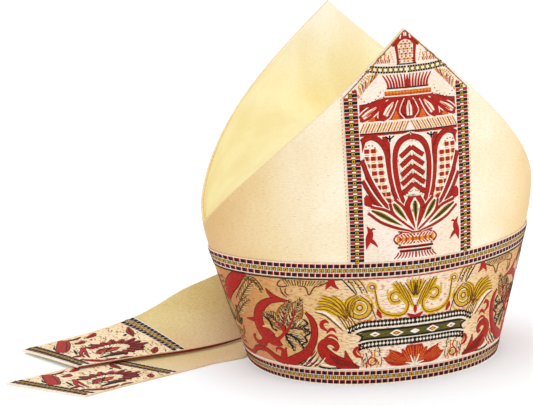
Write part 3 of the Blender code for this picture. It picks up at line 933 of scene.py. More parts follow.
def acanthus(draw):
    """Red leaf scroll between the vine and the crown."""
    draw("red", 1, [(-44, 14.5), (-54, 17.5), (-64, 21), (-71, 27), (-73, 33), (-69.5, 37),
          (-64.5, 36.5), (-61.5, 33), (-62.5, 30), (-65, 31)],
         [1, 4.2, 5.2, 4.8, 3.6, 2.9, 2.5, 2, 1.4, 0.3], edging="maroon", spacing=1.5)
    draw("red", 1, [(-51, 17), (-53.5, 23), (-55, 29.5)], [3, 2, 0.2], edging="maroon")
    draw("red", 1,
         [(-71.5, 39), (-68.5, 41.5), (-65.5, 42.5), (-62, 40.5), (-60.5, 38)], [0.4, 1, 1.2, 1, 0.3],
         [(-69.5, 44), (-66.5, 47.5), (-64, 47), (-62, 44.5)], [0.5, 1.5, 1.3, 0.3],
         [(-69, 46), (-73, 49), (-73.5, 52.5), (-70.5, 54.5), (-68, 52.5)], [0.6, 1.8, 1.8, 1.6, 0.4],
         [(-88, 16), (-82, 17.5), (-77, 16), (-73, 18)], [0.4, 1.1, 0.9, 0.3],
         [(-86, 21), (-81, 25), (-78.5, 29)], [0.3, 0.8, 0.3])
    hatch(draw, "lotus", (-68, 26), (-48, 18), (-62, 17), (-45, 14.5), 9, 0.35, 3)
    hatch(draw, "maroon", (-67, 26), (-47, 18), (-61, 17), (-44, 14.5), 9, 0.3, 3)
    for x in (-91, -87, -83, -79):
        draw("brown", 1, [(x, 14.4), (x + 4, 18.5), (x + 7.5, 24)], [0.3, 0.6, 0.3])
        draw("white", 1, [(x + 1.5, 14.4), (x + 5.5, 18.5), (x + 8.5, 23)], [0.3, 0.6, 0.3])
    draw("black", 1, [(-93, 15.5), (-86, 18), (-80, 23), (-77, 28)], [0.3, 0.7, 0.6, 0.3],
         [(-90, 15), (-84, 14.5), (-79, 18), (-75, 22)], [0.8, 0.6, 0.6, 0.3],
         [(-78, 17), (-74, 14.5), (-66, 13.6), (-58, 13.8)], [0.4, 0.9, 0.8, 0.3])
    draw("white", 1, [(-76, 18), (-70, 16.2), (-62, 15.6)], [0.4, 0.8, 0.3])


def crown(draw, palette):
    """Gold crown: plumes, garlands and palmette over an olive band between pearls."""
    for points, widths in (
            ([(-54, 56), (-63, 62), (-70, 65.5), (-78, 65)], [1.4, 2.9, 3, 0.4]),
            ([(-54, 57.5), (-62, 65.5), (-69, 69.5), (-76.5, 70)], [1.4, 2.8, 2.8, 0.4]),
            ([(-53.5, 58), (-60, 67.5), (-66, 72.5), (-73.5, 75)], [1.4, 2.7, 2.6, 0.4]),
            ([(-53, 58), (-57, 67), (-61, 72), (-66, 75.5)], [1.4, 2.4, 2.2, 0.4]),
            ([(-52, 58), (-54, 67), (-52, 72.5), (-46, 76)], [1.4, 2.6, 2.6, 0.5]),
            ([(-50, 58), (-50, 65), (-48, 71), (-43.5, 74)], [1.4, 2.2, 2.2, 0.5])):
        draw("gold", 1, points, widths)
        for aside in (-1.3, 1.3):
            draw("brown", 3, beside(points, aside), [0.2, 0.3, 0.3, 0.2])
    # Gold floats close the gaps between the plumes and between the leaves of the palmette.
    draw("gold", 0, [(-54, 57), (-62, 64), (-69, 69), (-75, 69.8)], [1.2, 3.4, 4.8, 2.4],
         [(-52, 58), (-51, 67), (-47.5, 73)], [1.2, 3.2, 2.2],
         [(-5.4, 66), (-10.4, 76), (-15, 83)], [2.6, 4.6, 3.2],
         [(-0.5, 71), (-2, 79), (-2.6, 85)], [0.8, 3.4, 2.6])
    draw("white", 1, [(-78.5, 62.8), (-70, 61), (-62.5, 54.5), (-55, 47)], [0.4, 0.9, 0.9, 0.5])
    draw("brown", 2, [(-78.5, 61.5), (-71, 59.3), (-63.5, 52.8), (-57, 46.5)], [0.3, 0.6, 0.6, 0.4],
         [(-44, 76), (-37, 70), (-33.5, 62), (-31, 55)], [0.3, 0.5, 0.5, 0.3])
    for shift in (0.0, 2.2, 4.4, 6.6, 8.8):
        low = shift * 0.7
        draw("brown", 2, [(-61 + shift, 59), (-57 + shift, 53), (-54 + low, 47.5)], 0.4)
        draw("gold", 1, [(-60.2 + shift, 59), (-56.2 + shift, 53), (-53.2 + low, 48)], 0.5)
        draw("white", 1, [(-59.4 + shift, 58.5), (-55.4 + shift, 52.5), (-52.6 + low, 48)], 0.4)
    for silk, radius, half_width, layer in (
            ("gold", 7.4, 1.5, 1), ("white", 5.4, 0.6, 1), ("gold", 3.6, 1.2, 2),
            ("brown", 6.0, 0.35, 3), ("brown", 2.2, 0.35, 3)):
        ring(palette[silk], -44, 65.5, radius, half_width, layer)
    ring(palette["brown"], -44, 65.5, 9.6, 0.5, 2, 150, 230)
    ring(palette["gold"], -44, 64.5, 12, 0.8, 1, 180, 150)
    bead_row(palette, "red", [(-56, 60), (-52, 54), (-44, 52.8), (-36, 55)], 2.6, 1.2, 1.2, 2)
    garland = [(-33, 84), (-31.5, 75), (-30, 67), (-26, 61), (-20, 58.2), (-12.5, 57.6), (-7.8, 60),
               (-6, 66), (-7.5, 71)]
    draw("gold", 1, garland, [0.5, 1, 1.5, 1.9, 2, 2, 1.8, 1.6, 0.8])
    draw("brown", 3, [(x + 0.3, y - 0.3) for x, y in garland], 0.4)
    for leaf in (((-9, 69), (-14.5, 78), (-19, 84.5)), ((-6.6, 67), (-11.8, 77), (-16.5, 86)),
                 ((-4, 65), (-9, 75.5), (-13.5, 85)), ((-1.8, 63), (-6, 73.5), (-11, 82.5))):
        draw("gold", 1, leaf, [0.9, 2, 0.5])
        draw("brown", 3, beside(leaf, -1.1), [0.2, 0.36, 0.2])
    for x, y in ((0, 87.5), (-3, 88), (-7, 86.5)):
        draw("gold", 1, [(x * 0.15, 71), (x * 0.6, 79), (x, y)], [0.8, 2.1, 0.5])
        draw("brown", 3, [(x * 0.15 - 0.6, 73), (x * 0.6 - 1.5, 80), (x - 1.5, y - 2)], 0.4)
    draw("olive", 3, [(0, 74), (0, 80), (0, 84)], [0.4, 1.2, 0.4])
    ring(palette["gold"], -15.8, 73, 5.6, 1.1, 1, 40, 280)
    ring(palette["gold"], -15.8, 73, 2.6, 0.8, 1)
    ring(palette["brown"], -15.8, 73, 4.2, 0.35, 2, 40, 280)
    draw("gold", 1, [(-22, 80), (-22.5, 76), (-21.5, 72)], [0.3, 0.9, 0.5],
         [(-40, 77), (-35, 71), (-32.5, 64)], [0.4, 0.9, 0.4])
    draw("red", 2, [(0, 65), (0, 61.5), (0, 58)], [0.5, 1.7, 0.5],
         [(-6.5, 58.2), (-3.5, 56), (0, 54.8)], [0.4, 1.6, 1.6],
         [(-30, 63.5), (-29.2, 60), (-27, 56)], [0.4, 2, 0.6])
    # Pearls between dashed lines, over and under the olive band.
    upper = [(-53, 46), (-45, 50), (-36, 51.4), (-20, 51.7), (0, 51.8)]
    lower = [(-45, 31.8), (-38, 33.8), (-30, 34.6), (-15, 34.9), (0, 35)]
    for path in (upper, lower):
        draw("white", 1, path, 1.6)
        for aside in (-1.8, 1.8):
            bead_row(palette, "black", [(x, y + aside) for x, y in path], 2.9, 2.8, 2.2, 3)
        bead_row(palette, "black", path, 2.9, 1.0, 2.0, 2)
    bead_row(palette, "orange", [(-50, 54.3), (-36, 54.6), (-20, 54.9), (-7, 55)], 4.0, 2.2, 0.8, 1)
    draw("white", 1, [(-47, 45.5), (-38, 48), (-20, 48.8), (0, 48.8)], 0.9,
         [(-45, 35.5), (-38, 37), (-20, 37.6), (0, 37.7)], 0.8)
    draw("olive", 1, [(-43, 40.8), (-38, 42), (-20, 42.7), (0, 42.8)], [2.6, 3.2, 3.2, 3.2])
    draw("black", 2, [(-47, 43.3), (-39, 45.6), (-20, 46.2), (0, 46.3)], [0.4, 0.95, 0.95, 0.95],
         [(-44.5, 36.5), (-39, 38.7), (-20, 39.4), (0, 39.5)], [0.4, 0.95, 0.95, 0.95],
         [(-46.5, 43.3), (-41.5, 41), (-44, 36.8)], [0.5, 1, 0.5])
    for x, half_width in ((-15, 3.0), (-32, 2.2), (0, 2.2)):
        draw("white", 2, [(x - half_width * 1.8, 42.7), (x, 42.7), (x + half_width * 1.8, 42.7)],
             [0.2, half_width, 0.2])
    draw("red", 3, [(-18, 42.7), (-15, 42.7), (-12, 42.7)], [0.2, 1.7, 0.2],
         [(-33.4, 42.4), (-32, 42.4), (-30.6, 42.4)], [0.2, 0.8, 0.2])
    draw("gold", 4, [(-16.6, 42.7), (-15, 42.7), (-13.4, 42.7)], [0.2, 0.9, 0.2])
    draw("red", 2,
         [(-41, 33), (-46, 31.5), (-48, 28), (-45.5, 24.5), (-41, 23.3)], [0.5, 1.3, 1.5, 1.3, 0.4])
    draw("orange", 1, [(-42, 31), (-45, 28.6), (-42.5, 25)], [0.3, 1.2, 0.3])


def lotus(draw, palette):
    """Vermilion lotus under the crown, streaked in orange, with thin sprigs beside it."""
    draw("lotus", 1, [(-4, 15), (-14, 16.6), (-20, 19), (-25.5, 22.5)], [0.8, 2.6, 2.8, 0.4],
         [(-3, 15), (-11, 18.5), (-16, 23), (-20.5, 28.8)], [1, 4.4, 4.6, 0.5],
         [(-2, 15), (-6.5, 22), (-10.5, 28)], [1.5, 4.4, 0.6])
    draw("lotus", 2, [(0, 15), (0, 21), (0, 27), (0, 31)], [2, 6.5, 8, 6.5])
    hatch(draw, "orange", (-4, 17), (-9, 15.5), (-19.5, 27.5), (-24, 20.5), 9, 0.42, 3)
    hatch(draw, "orange", (-0.9, 17), (-4.5, 17), (-1.6, 30), (-10, 26.5), 5, 0.5, 4)
    hatch(draw, "red", (-5, 16.5), (-9.5, 15.5), (-18, 27.5), (-24.5, 21.5), 6, 0.3, 4)
    draw("red", 4, [(0, 29), (0, 25.5), (0, 21)], [0.6, 1.8, 0.5])
    for x, y, bend in ((-3.6, 22.5, 17.5), (0, 21, 17.5), (-7.5, 16.5, 15.5)):
        draw("white", 5, [(0, 14), (x * 0.5, bend), (x, y)], [0.7, 0.8, 0.4])
    draw("red", 2, [(-8, 33.2), (-4, 32.6), (0, 32.4)], [0.3, 0.7, 0.7])
    ring(palette["red"], -34, 19.5, 3.2, 0.55, 2)
    ring(palette["gold"], -34, 19.5, 1.2, 0.6, 2)
    for sprig in range(34):
        x, y = -35 + random.uniform(-9.5, 7.5), 22.5 + random.uniform(-8.5, 8.0)
        bend, rise = random.uniform(-1.6, 1.6), random.uniform(2.0, 4.0)
        draw(random.choice(("white", "red", "brown", "olive", "orange", "white")), 1,
             [(x, y), (x + bend, y + rise / 2.0), (x + bend * 0.2, y + rise)], [0.3, 0.6, 0.3])
    draw("red", 1, [(-38.5, 14), (-38, 20), (-34, 25), (-36.5, 30)], 0.5)
    draw("gold", 1, [(-30.5, 14), (-29.5, 19), (-32.5, 25), (-31, 30.5)], 0.55)
    draw("brown", 1, [(-41, 15.5), (-40.5, 21), (-37, 24)], 0.45,
         [(-27.5, 15), (-26.5, 20), (-28.5, 26)], 0.4)
    bead_row(palette, "brown", [(-40, 26), (-34, 29), (-27, 27)], 2.4, 1.2, 0.9, 1)


def overhang(draw, palette):
    """Outlined leaf and sprigs under the band's upper edge."""
    draw("brown", 2, [(-68, 87.5), (-74, 84.5), (-79.5, 82.5), (-83.5, 76), (-86, 82), (-91, 83.8),
                      (-98, 84), (-104, 82), (-109, 82.5), (-107.5, 86.5), (-102, 88.5)], 0.6,
         spacing=1.5)
    hatch(draw, "tan", (-106, 87.8), (-72, 87.6), (-102, 83.2), (-77, 84), 15, 0.6)
    hatch(draw, "brown", (-105, 88), (-71, 88), (-101, 83.6), (-76, 84), 15, 0.4, 2)
    hatch(draw, "bronze", (-104, 88), (-72, 88), (-103, 85), (-75, 86), 11, 0.4, 2)
    draw("brown", 2, [(-107, 81), (-105.5, 76.5), (-101.5, 73)], [0.3, 0.7, 0.3],
         [(-102.5, 81), (-103, 77), (-100, 74.5)], [0.3, 0.6, 0.3])
    draw("red", 2, [(-65.5, 89.5), (-68, 85), (-70.5, 81)], [2, 2, 0.3],
         [(-65.5, 89.5), (-64, 84.5), (-60, 81.5)], [2, 1.8, 0.3])
    draw("black", 2, [(-57.5, 89.5), (-52, 83), (-46.5, 76.5)], [0.4, 0.6, 0.4])
    for x in (-53.5, -49.5, -45.5):
        draw("brown", 2, [(x, 89.5), (x + 4.5, 83.5), (x + 7.5, 77.5)], 0.4)
        draw("gold", 1, [(x + 1.8, 89), (x + 5.5, 84)], 0.5)
    bead_row(palette, "black", [(-54, 87.5), (-47, 86), (-41, 80)], 2.8, 1.2, 1.0, 3)
    ring(palette["gold"], -34.5, 82.5, 3.4, 0.8)
    ring(palette["brown"], -34.5, 82.5, 1.7, 0.45)
    draw("black", 2, [(-170, 89.2), (-110, 89.3), (-57, 89.4)], 0.6, spacing=4.0)
    draw("red", 2, [(-56, 89.4), (-30, 89.4), (1, 89.4)], 0.5, spacing=4.0)
    draw("white", 1, [(-170, 13.1), (-85, 13.1), (1, 13.1)], 0.7, spacing=4.0)


palette, draw = open_palette()
rinceau(draw, palette)
acanthus(draw)
crown(draw, palette)
lotus(draw, palette)
overhang(draw, palette)
for pattern in palette.values():
    copy_over(pattern, 1.0, 2.0 * SIDE_SEAM)
    copy_over(pattern)
DRAWN_HIGH = 90.2       # level at which the band's figures are drawn to end
squeeze = (BAND_HIGH - BAND_LOW) / (DRAWN_HIGH - BAND_LOW)
sew_palette("circulus", palette,
            lambda along, level, lift: band(along, BAND_LOW + (level - BAND_LOW) * squeeze, lift))


def vase(draw, palette):
    """Left half of the titulus figure: foot, knob and the leaves that rise from it."""
    for x in np.arange(-14.0, 0.1, 2.3):
        draw("red", 1, [(x, 107.6), (x * 1.06, 105.4), (x * 1.25, 103)], [0.7, 0.6, 0.4])
    for level, reach in ((108.8, 13), (111.9, 14.5)):
        draw("red", 1, [(-reach, level + 0.5), (0, level + 0.5)], 0.6)
        draw("black", 2, [(-reach, level - 0.4), (0, level - 0.4)], 0.6)
        draw("white", 1, [(-reach - 1, level + 1.6), (0, level + 1.6)], 0.5)
    draw("orange", 1, [(-14.5, 118.3), (-7, 118.3), (0, 118.3)], [2.6, 4.2, 4.2])
    for x in (0, -5, -10, -14.5):
        ring(palette["red"], x, 118.3, 2.7, 0.4, 2, squash=1.4)
        draw("gold", 2, [(x, 116), (x, 118.3), (x, 120.6)], [0.3, 1, 0.3])
    hatch(draw, "white", (-14, 114.5), (-1, 114.5), (-11.5, 117), (1.5, 117), 6, 0.4, 3)
    hatch(draw, "white", (-11.5, 119.5), (1.5, 119.5), (-14, 122.5), (-1, 122.5), 6, 0.4, 3)
    draw("red", 3, [(-12.5, 113.4), (-17.3, 117.6), (-16.2, 120.8), (-11, 123.6)], 0.6)
    draw("white", 1, [(-14, 112.8), (-19, 117.8), (-17.5, 122), (-12, 125)], 0.5)
    draw("white", 2, [(-12, 114), (0, 114)], 0.5)
    draw("red", 2, [(-14, 124.6), (-7, 123.6), (0, 123.4)], 0.7)
    # Red-edged leaves with white linings and olive hearts.
    for outline, heart, widths in (
            ([(-3, 125), (-14, 131), (-25, 137.5), (-35.5, 143)],
             [(-11, 129.5), (-19, 134), (-27, 139), (-34, 142.6)], [0.9, 4.2, 5.8, 3.4]),
            ([(-1, 126), (-7.5, 133.5), (-13.5, 141.5), (-17.5, 148.5)],
             [(-7, 133), (-11, 138.5), (-15, 144), (-17, 147)], [0.9, 3.8, 5.4, 3.2]),
            ([(0, 126), (0, 136), (0, 145), (0, 151.5)],
             [(0, 132), (0, 138.5), (0, 145), (0, 148)], [1, 6, 8.2, 4.6])):
        white = np.array(widths) - (1.7 if outline[0][0] else 3.9)
        draw("white", 4, outline, np.array(widths) + 1.5)
        draw("red", 5, outline, np.array(widths) + 0.6, edging="maroon")
        draw("white", 6, [(x, y - 1.2 if x == 0 else y) for x, y in outline], np.maximum(white, 0.3))
        draw("gold", 7, heart, [0.3, 1.8, 2.2, 1.0])
        draw("olive", 8, heart, [0.2, 1.3, 1.7, 0.7])
        draw("black", 9, heart, [0.2, 0.45, 0.45, 0.2])


def gadroons(draw, palette):
    """The tall lobes: chevrons in the middle one and checks in the side ones."""
    draw("red", 0, [(-2.5, 129), (-12, 149), (-18.5, 168), (-20, 199)], [1.5, 13, 19.5, 20],
         [(-26, 146), (-35, 149), (-39.6, 152)], [2, 4, 4])
    draw("white", 1, [(0, 151), (0, 160), (0, 176), (0, 188), (0, 195)], [6, 9, 12.2, 10, 4],
         [(-19, 150), (-24, 161), (-28.5, 174), (-31, 186), (-32.5, 195)], [1.5, 6, 9, 9, 4],
         [(-7.5, 151.2), (-3.5, 153.4), (0, 154.4)], 0.6)
    draw("red", 2, [(0, 198), (-8, 194.8), (-12.8, 187.5), (-14.2, 176), (-12.2, 158), (-8.5, 146),
                    (-1.5, 127)], [2, 2.1, 2.1, 2, 1.8, 1.5, 0.8], edging="maroon")
    draw("white", 2, [(0, 201), (-9.5, 197.6), (-15, 189.5), (-16.6, 176), (-14.6, 159), (-9, 142)],
         [0.8, 0.8, 0.7, 0.7, 0.6, 0.3],
         [(-21.5, 199.4), (-17, 199.4), (-12.5, 199.4)], [0.5, 1.2, 0.5],
         [(-17, 199), (-17, 194)], [2.2, 0.5])
    draw("red", 2, [(-39.5, 196), (-32, 199), (-25, 195.8), (-20.2, 187.5), (-19, 176), (-17.5, 163),
          (-13.6, 150), (-8, 138), (-2.5, 127)], [1.8, 1.9, 1.9, 1.8, 1.7, 1.5, 1.3, 1.1, 0.6],
         edging="maroon")
    draw("red", 3, [(-3, 126), (-14, 136), (-24, 148), (-31, 160), (-36, 171), (-39.7, 182)],
         [0.7, 1.5, 1.5, 1.5, 1.5, 1.5],
         [(-5, 126), (-18, 135.2), (-28, 146), (-35, 156.5), (-39.7, 166)],
         [0.7, 1.4, 1.4, 1.4, 1.4], edging="maroon")
    draw("white", 3, [(-8, 129), (-21, 141), (-31, 154), (-38, 167)], [0.3, 0.6, 0.7, 0.6],
         [(-13, 138), (-21.5, 148), (-28.5, 160), (-33.8, 172), (-37.5, 184)],
         [0.3, 0.7, 0.7, 0.7, 0.4])
    for level, places in ((188.4, (-35.4, -30.2)), (182.6, (-36, -30.6, -25.4)),
                          (176.9, (-35.6, -30.4, -25.2)), (171.2, (-30.2, -25)),
                          (165.6, (-29.8, -24.6)), (160, (-27.8, -23)), (154.4, (-24.6, -20.6)),
                          (149.4, (-20.6,))):
        for x in places:
            tuft(palette["red"], x, level, 4.5, 3.9, 2)
            tuft(palette["gold"], x, level - 2.85, 3.8, 0.8, 2)
            tuft(palette["gold"], x + 2.6, level, 0.7, 2.4, 2)
    bead_row(palette, "red", [(-37, 191.5), (-32, 193), (-28, 190)], 2.6, 1.5, 1.2, 1)
    for peak in (190.0, 182.8, 175.6, 168.6, 161.6):
        draw("red", 2, [(-9.4, peak - 7.6), (-4.5, peak - 4), (0, peak - 0.4)], 1.7, edging="maroon")
        bead_row(palette, "white", [(-8.5, peak - 10.8), (-4.2, peak - 7.2), (0, peak - 3.9)],
                 2.3, 1.5, 1.5, 1)
        bead_row(palette, "gold", [(-7.4, peak - 10.4), (-3.1, peak - 6.7), (0, peak - 4.6)],
                 2.3, 0.9, 0.9, 2)
    draw("black", 1, [(-7, 152.8), (-3.5, 155), (0, 156.2)], 0.7)
    draw("black", 3, [(-20.5, 199), (-17.5, 196.8), (-17, 194.5)], 0.7,
         [(-13.5, 199), (-16.5, 196.8), (-17, 194.5)], 0.7, [(-17, 199.6), (-17, 196.5)], 0.8)


def dome(draw, palette):
    """Lid of the vase: herringbone rim, petals, rope, fluted neck and finial."""
    draw("red", 2, [(-40, 200.8), (0, 200.8)], 0.9)
    draw("black", 3, [(-40, 201.9), (0, 201.9)], 0.4)
    draw("white", 0, [(-40, 206.2), (0, 206.2)], 4.1, spacing=4.0)
    for index, x in enumerate(np.arange(-39.8, -3.4, 2.2)):
        draw(("orange", "gold", "lotus", "gold")[index % 4], 2, [(x, 202.8), (x + 3.6, 209.6)], 0.55)
    draw("white", 1, [(-40, 210.6), (0, 210.6)], 0.5,
         [(-17.5, 236), (-18.5, 240.5), (-21.5, 246)], 0.5,
         [(-36, 247.6), (-20, 245.8), (-17, 246)], 0.4)
    draw("red", 0, [(-39.8, 216.5), (-28, 217.5), (-17, 219.5), (0, 219.5)], [6, 7, 8.6, 8.6])
    for x in (-10.6, -30):
        draw("orange", 1, [(x, 218), (x - 0.4, 214), (x - 0.4, 211.3)], [0.3, 2.4, 3.2])
    draw("red", 1, [(-40, 222.4), (-31, 223.6), (-23, 226.4), (-17, 228), (0, 228.2)], 1.5,
         edging="maroon")
    for petal, widths, heart, heart_widths in (
            ([(-19, 226.8), (-27, 221), (-34, 216), (-39, 213)], [2.2, 3.8, 4.2, 3],
             [(-26, 222), (-32, 217.8), (-37, 214.4)], [0.5, 2.1, 1.7]),
            ([(-11, 227.6), (-16, 221.5), (-20.5, 215.5), (-23, 211.8)], [2.6, 4.8, 5.2, 2.6],
             [(-12.5, 225), (-16.5, 219.5), (-19.6, 215)], [0.5, 2.5, 2.0]),
            ([(0, 228), (0, 222), (0, 216.5), (0, 211.2)], [3, 6.2, 7.8, 3.6],
             [(0, 225.4), (0, 219), (0, 213.6)], [0.6, 2.7, 2.4])):
        draw("white", 1, petal, np.array(widths) + 0.9)
        draw("red", 2, petal, widths)
        draw("white", 3, heart, heart_widths)
        draw("orange", 4, heart, [0.2, 0.7, 0.4])
        draw("lotus", 4, [(x + 2.9, y + 0.6) for x, y in heart], [0.3, 0.7, 0.5])
    draw("orange", 1, [(-19, 231.4), (0, 231.4)], 1.8)
    bead_row(palette, "red", [(-19, 230.4), (0, 230.4)], 2.6, 1.2, 0.9, 2)
    bead_row(palette, "gold", [(-18, 232.2), (0, 232.2)], 2.6, 1.4, 1.0, 2)
    draw("white", 2, [(-19.5, 229.3), (0, 229.2)], 0.5, [(-19.5, 234.1), (0, 233.9)], 0.6)
    draw("black", 2, [(-17, 235.3), (0, 235.1)], 0.5)
    for x in np.arange(-15.6, -1.0, 2.3):
        draw("red", 1, [(x, 235.6), (x * 1.05, 240), (x * 1.26, 245.6)], [0.95, 0.85, 0.5])
    draw("red", 1, [(0, 235.6), (0, 239), (0, 245)], [1.9, 1.6, 0.4])
    beads = [(-36, 252.2), (-20, 249.8), (0, 249)]
    for aside in (-1.9, 1.9):
        bead_row(palette, "black", [(x, y + aside) for x, y in beads], 2.1, 1.8, 1.5, 2)
    bead_row(palette, "white", beads, 4.2, 2.6, 2.4, 1)
    bars = [(-33.9, 252), (-20, 249.8), (-2.1, 249)]
    bead_row(palette, "gold", bars, 4.2, 2.1, 4.4, 1)
    bead_row(palette, "olive", bars, 4.2, 1.2, 2.8, 2)
    for start, end in (((-39, 238), (-27, 247)), ((-36.5, 238.5), (-24, 246.6))):
        path = [start, ((start[0] + end[0]) / 2 - 1, (start[1] + end[1]) / 2 + 2), end]
        bead_row(palette, "gold", path, 2.0, 1.3, 1.3, 1)
    bead_row(palette, "brown", [(-38, 243), (-33, 248), (-27, 249)], 2.6, 0.9, 1.4, 2)
    bead_row(palette, "brown", [(-38.5, 230), (-33, 225.5), (-26, 228), (-22, 233)], 3.2, 1.0, 0.7, 1)
    # Finial.
    for index, level in enumerate(np.arange(255.0, 271.0, 1.9)):
        for step in range(4):
            silk = ("orange", "gold", "white", "lotus")[(index * 3 + step * 2) % 4]
            tuft(palette[silk], -5.1 + step * 1.75, level, 1.4, 1.4, 1)
    draw("red", 1, [(-6.6, 253.5), (-7, 261), (-8, 270)], [0.7, 0.7, 1.1], edging="maroon")
    draw("red", 2, [(-8, 267.5), (-5, 271.4), (0, 273.4)], 1.3,
         [(-25.5, 259.5), (-21, 263), (-17.5, 266)], 0.9)
    draw("red", 1, [(-12, 268.5), (-6, 274.2), (0, 278)], [3, 3.8, 4.2])
    draw("black", 2, [(-8, 253.2), (0, 253)], 0.5)
    draw("white", 3, [(-4.2, 272.6), (-3.4, 275.4)], 0.6, [(-0.7, 274.4), (-0.7, 277.2)], 0.6)
    draw("bronze", 3, [(-51, 230.4), (-25, 255.6), (-0.3, 278.4)], 0.4, spacing=4.0)
    for fan in range(7):
        root, tip = (-39.5 + fan * 2.0, 229.5 + fan * 2.2), (-42.0 + fan * 2.9, 236.5 + fan * 1.9)
        draw(("red", "gold", "brown")[fan % 3], 2, [root, tip], [0.3, 0.55])
        draw("orange", 1, [(root[0] + 1.0, root[1] + 0.6), (tip[0] + 1.2, tip[1] - 1.0)], [0.3, 0.4])
    for x in (-24.5, -21.5, -18.5, -15.5):
        draw("orange", 1, [(x, 254.8), (x + 1.2, 258.0), (x + 1.6, 261.0)], [0.3, 0.5, 0.3])
        draw("red", 2, [(x + 1.4, 254.6), (x + 2.4, 257.4)], [0.3, 0.45])
    for start, end in (((-10, 254.5), (-12.5, 263)), ((-13.5, 254.5), (-17.5, 264.5)),
                       ((-18, 254.5), (-22, 261))):
        bead_row(palette, "gold", [start, end], 1.9, 1.0, 1.2, 1)
    draw("brown", 1, [(-24, 257), (-20.5, 260.5), (-17, 261.5)], 0.4)


palette, draw = open_palette()
vase(draw, palette)
gadroons(draw, palette)
dome(draw, palette)
draw("red", 1, [(-38, 130), (-35.6, 125), (-37.2, 119), (-38.8, 112)], [0.4, 2.3, 2.6, 0.3],
     [(-37, 120), (-33.5, 117.5), (-30, 113.5)], [1.8, 1.6, 0.3],
     [(-36, 126), (-33.5, 128), (-31.5, 127.5)], [0.8, 0.9, 0.3])
draw("white", 1, [(-39.9, 102), (-39.9, 250)], 0.6, spacing=4.0)
peak_slope = Vector((-TITULUS_HALF, float(top_at_distance(TITULUS_HALF)) - HEIGHT, 0.0))
for pattern in palette.values():
    if pattern.verts:
        cut_off(pattern, (0.0, HEIGHT - 0.7, 0.0), (peak_slope.y, -peak_slope.x, 0.0))
        copy_over(pattern)
sew_palette("titulus", palette, trim_face)

TITULUS_PITCH = 5.6
OUTER_ROW, MIDDLE_ROW, INNER_ROW = 49.4, 45.9, 42.3     # how far from the titulus' centre
palette, draw = open_palette()
for side in (-1.0, 1.0):
    for column in (OUTER_ROW, INNER_ROW):
        top = float(top_at_distance(column + 1.6)) - 1.5
        for level in np.arange(104.4, top - 2.0, TITULUS_PITCH):
            tuft(palette["red"], side * column, level + 1.4, 4.3, 2.5, 1)
            tuft(palette["black"], side * column, level - 1.4, 4.3, 2.6, 1)
    for level in np.arange(102.6, float(top_at_distance(47.0)) - 3.0, TITULUS_PITCH):
        gold_block(palette, side * MIDDLE_ROW, level, (3.3, 4.4), (2.7, 3.4), (1.5, 1.9))
    for column in (40.4, 51.2):
        top = float(top_at_distance(column)) - 1.0
        draw("white", 1, [(side * column, 101.5), (side * column, top)], 0.3, spacing=4.0)
sew_palette("titulus_galloons", palette, trim_face)

# Running stitches hold the titulus to the shield.
palette, draw = open_palette()
for side in (-1.0, 1.0):
    bead_row(palette, "orange", [(side * 53.3, 102.5), (side * 53.2, 160.0), (side * 53.0, 231.0)],
             2.9, 0.5, 1.5, 0)
sew_palette("titulus_stitches", palette, wall)


LAPPET_WOVEN, LAPPET_PITCH = 71.0, 4.73     # the check's width, and one block with its gap


def oval(x, y, wide, high, angle, twist=0.0):
    """A point on an oval round a centre."""
    return x + wide * math.cos(angle), y + high * math.sin(angle + twist)


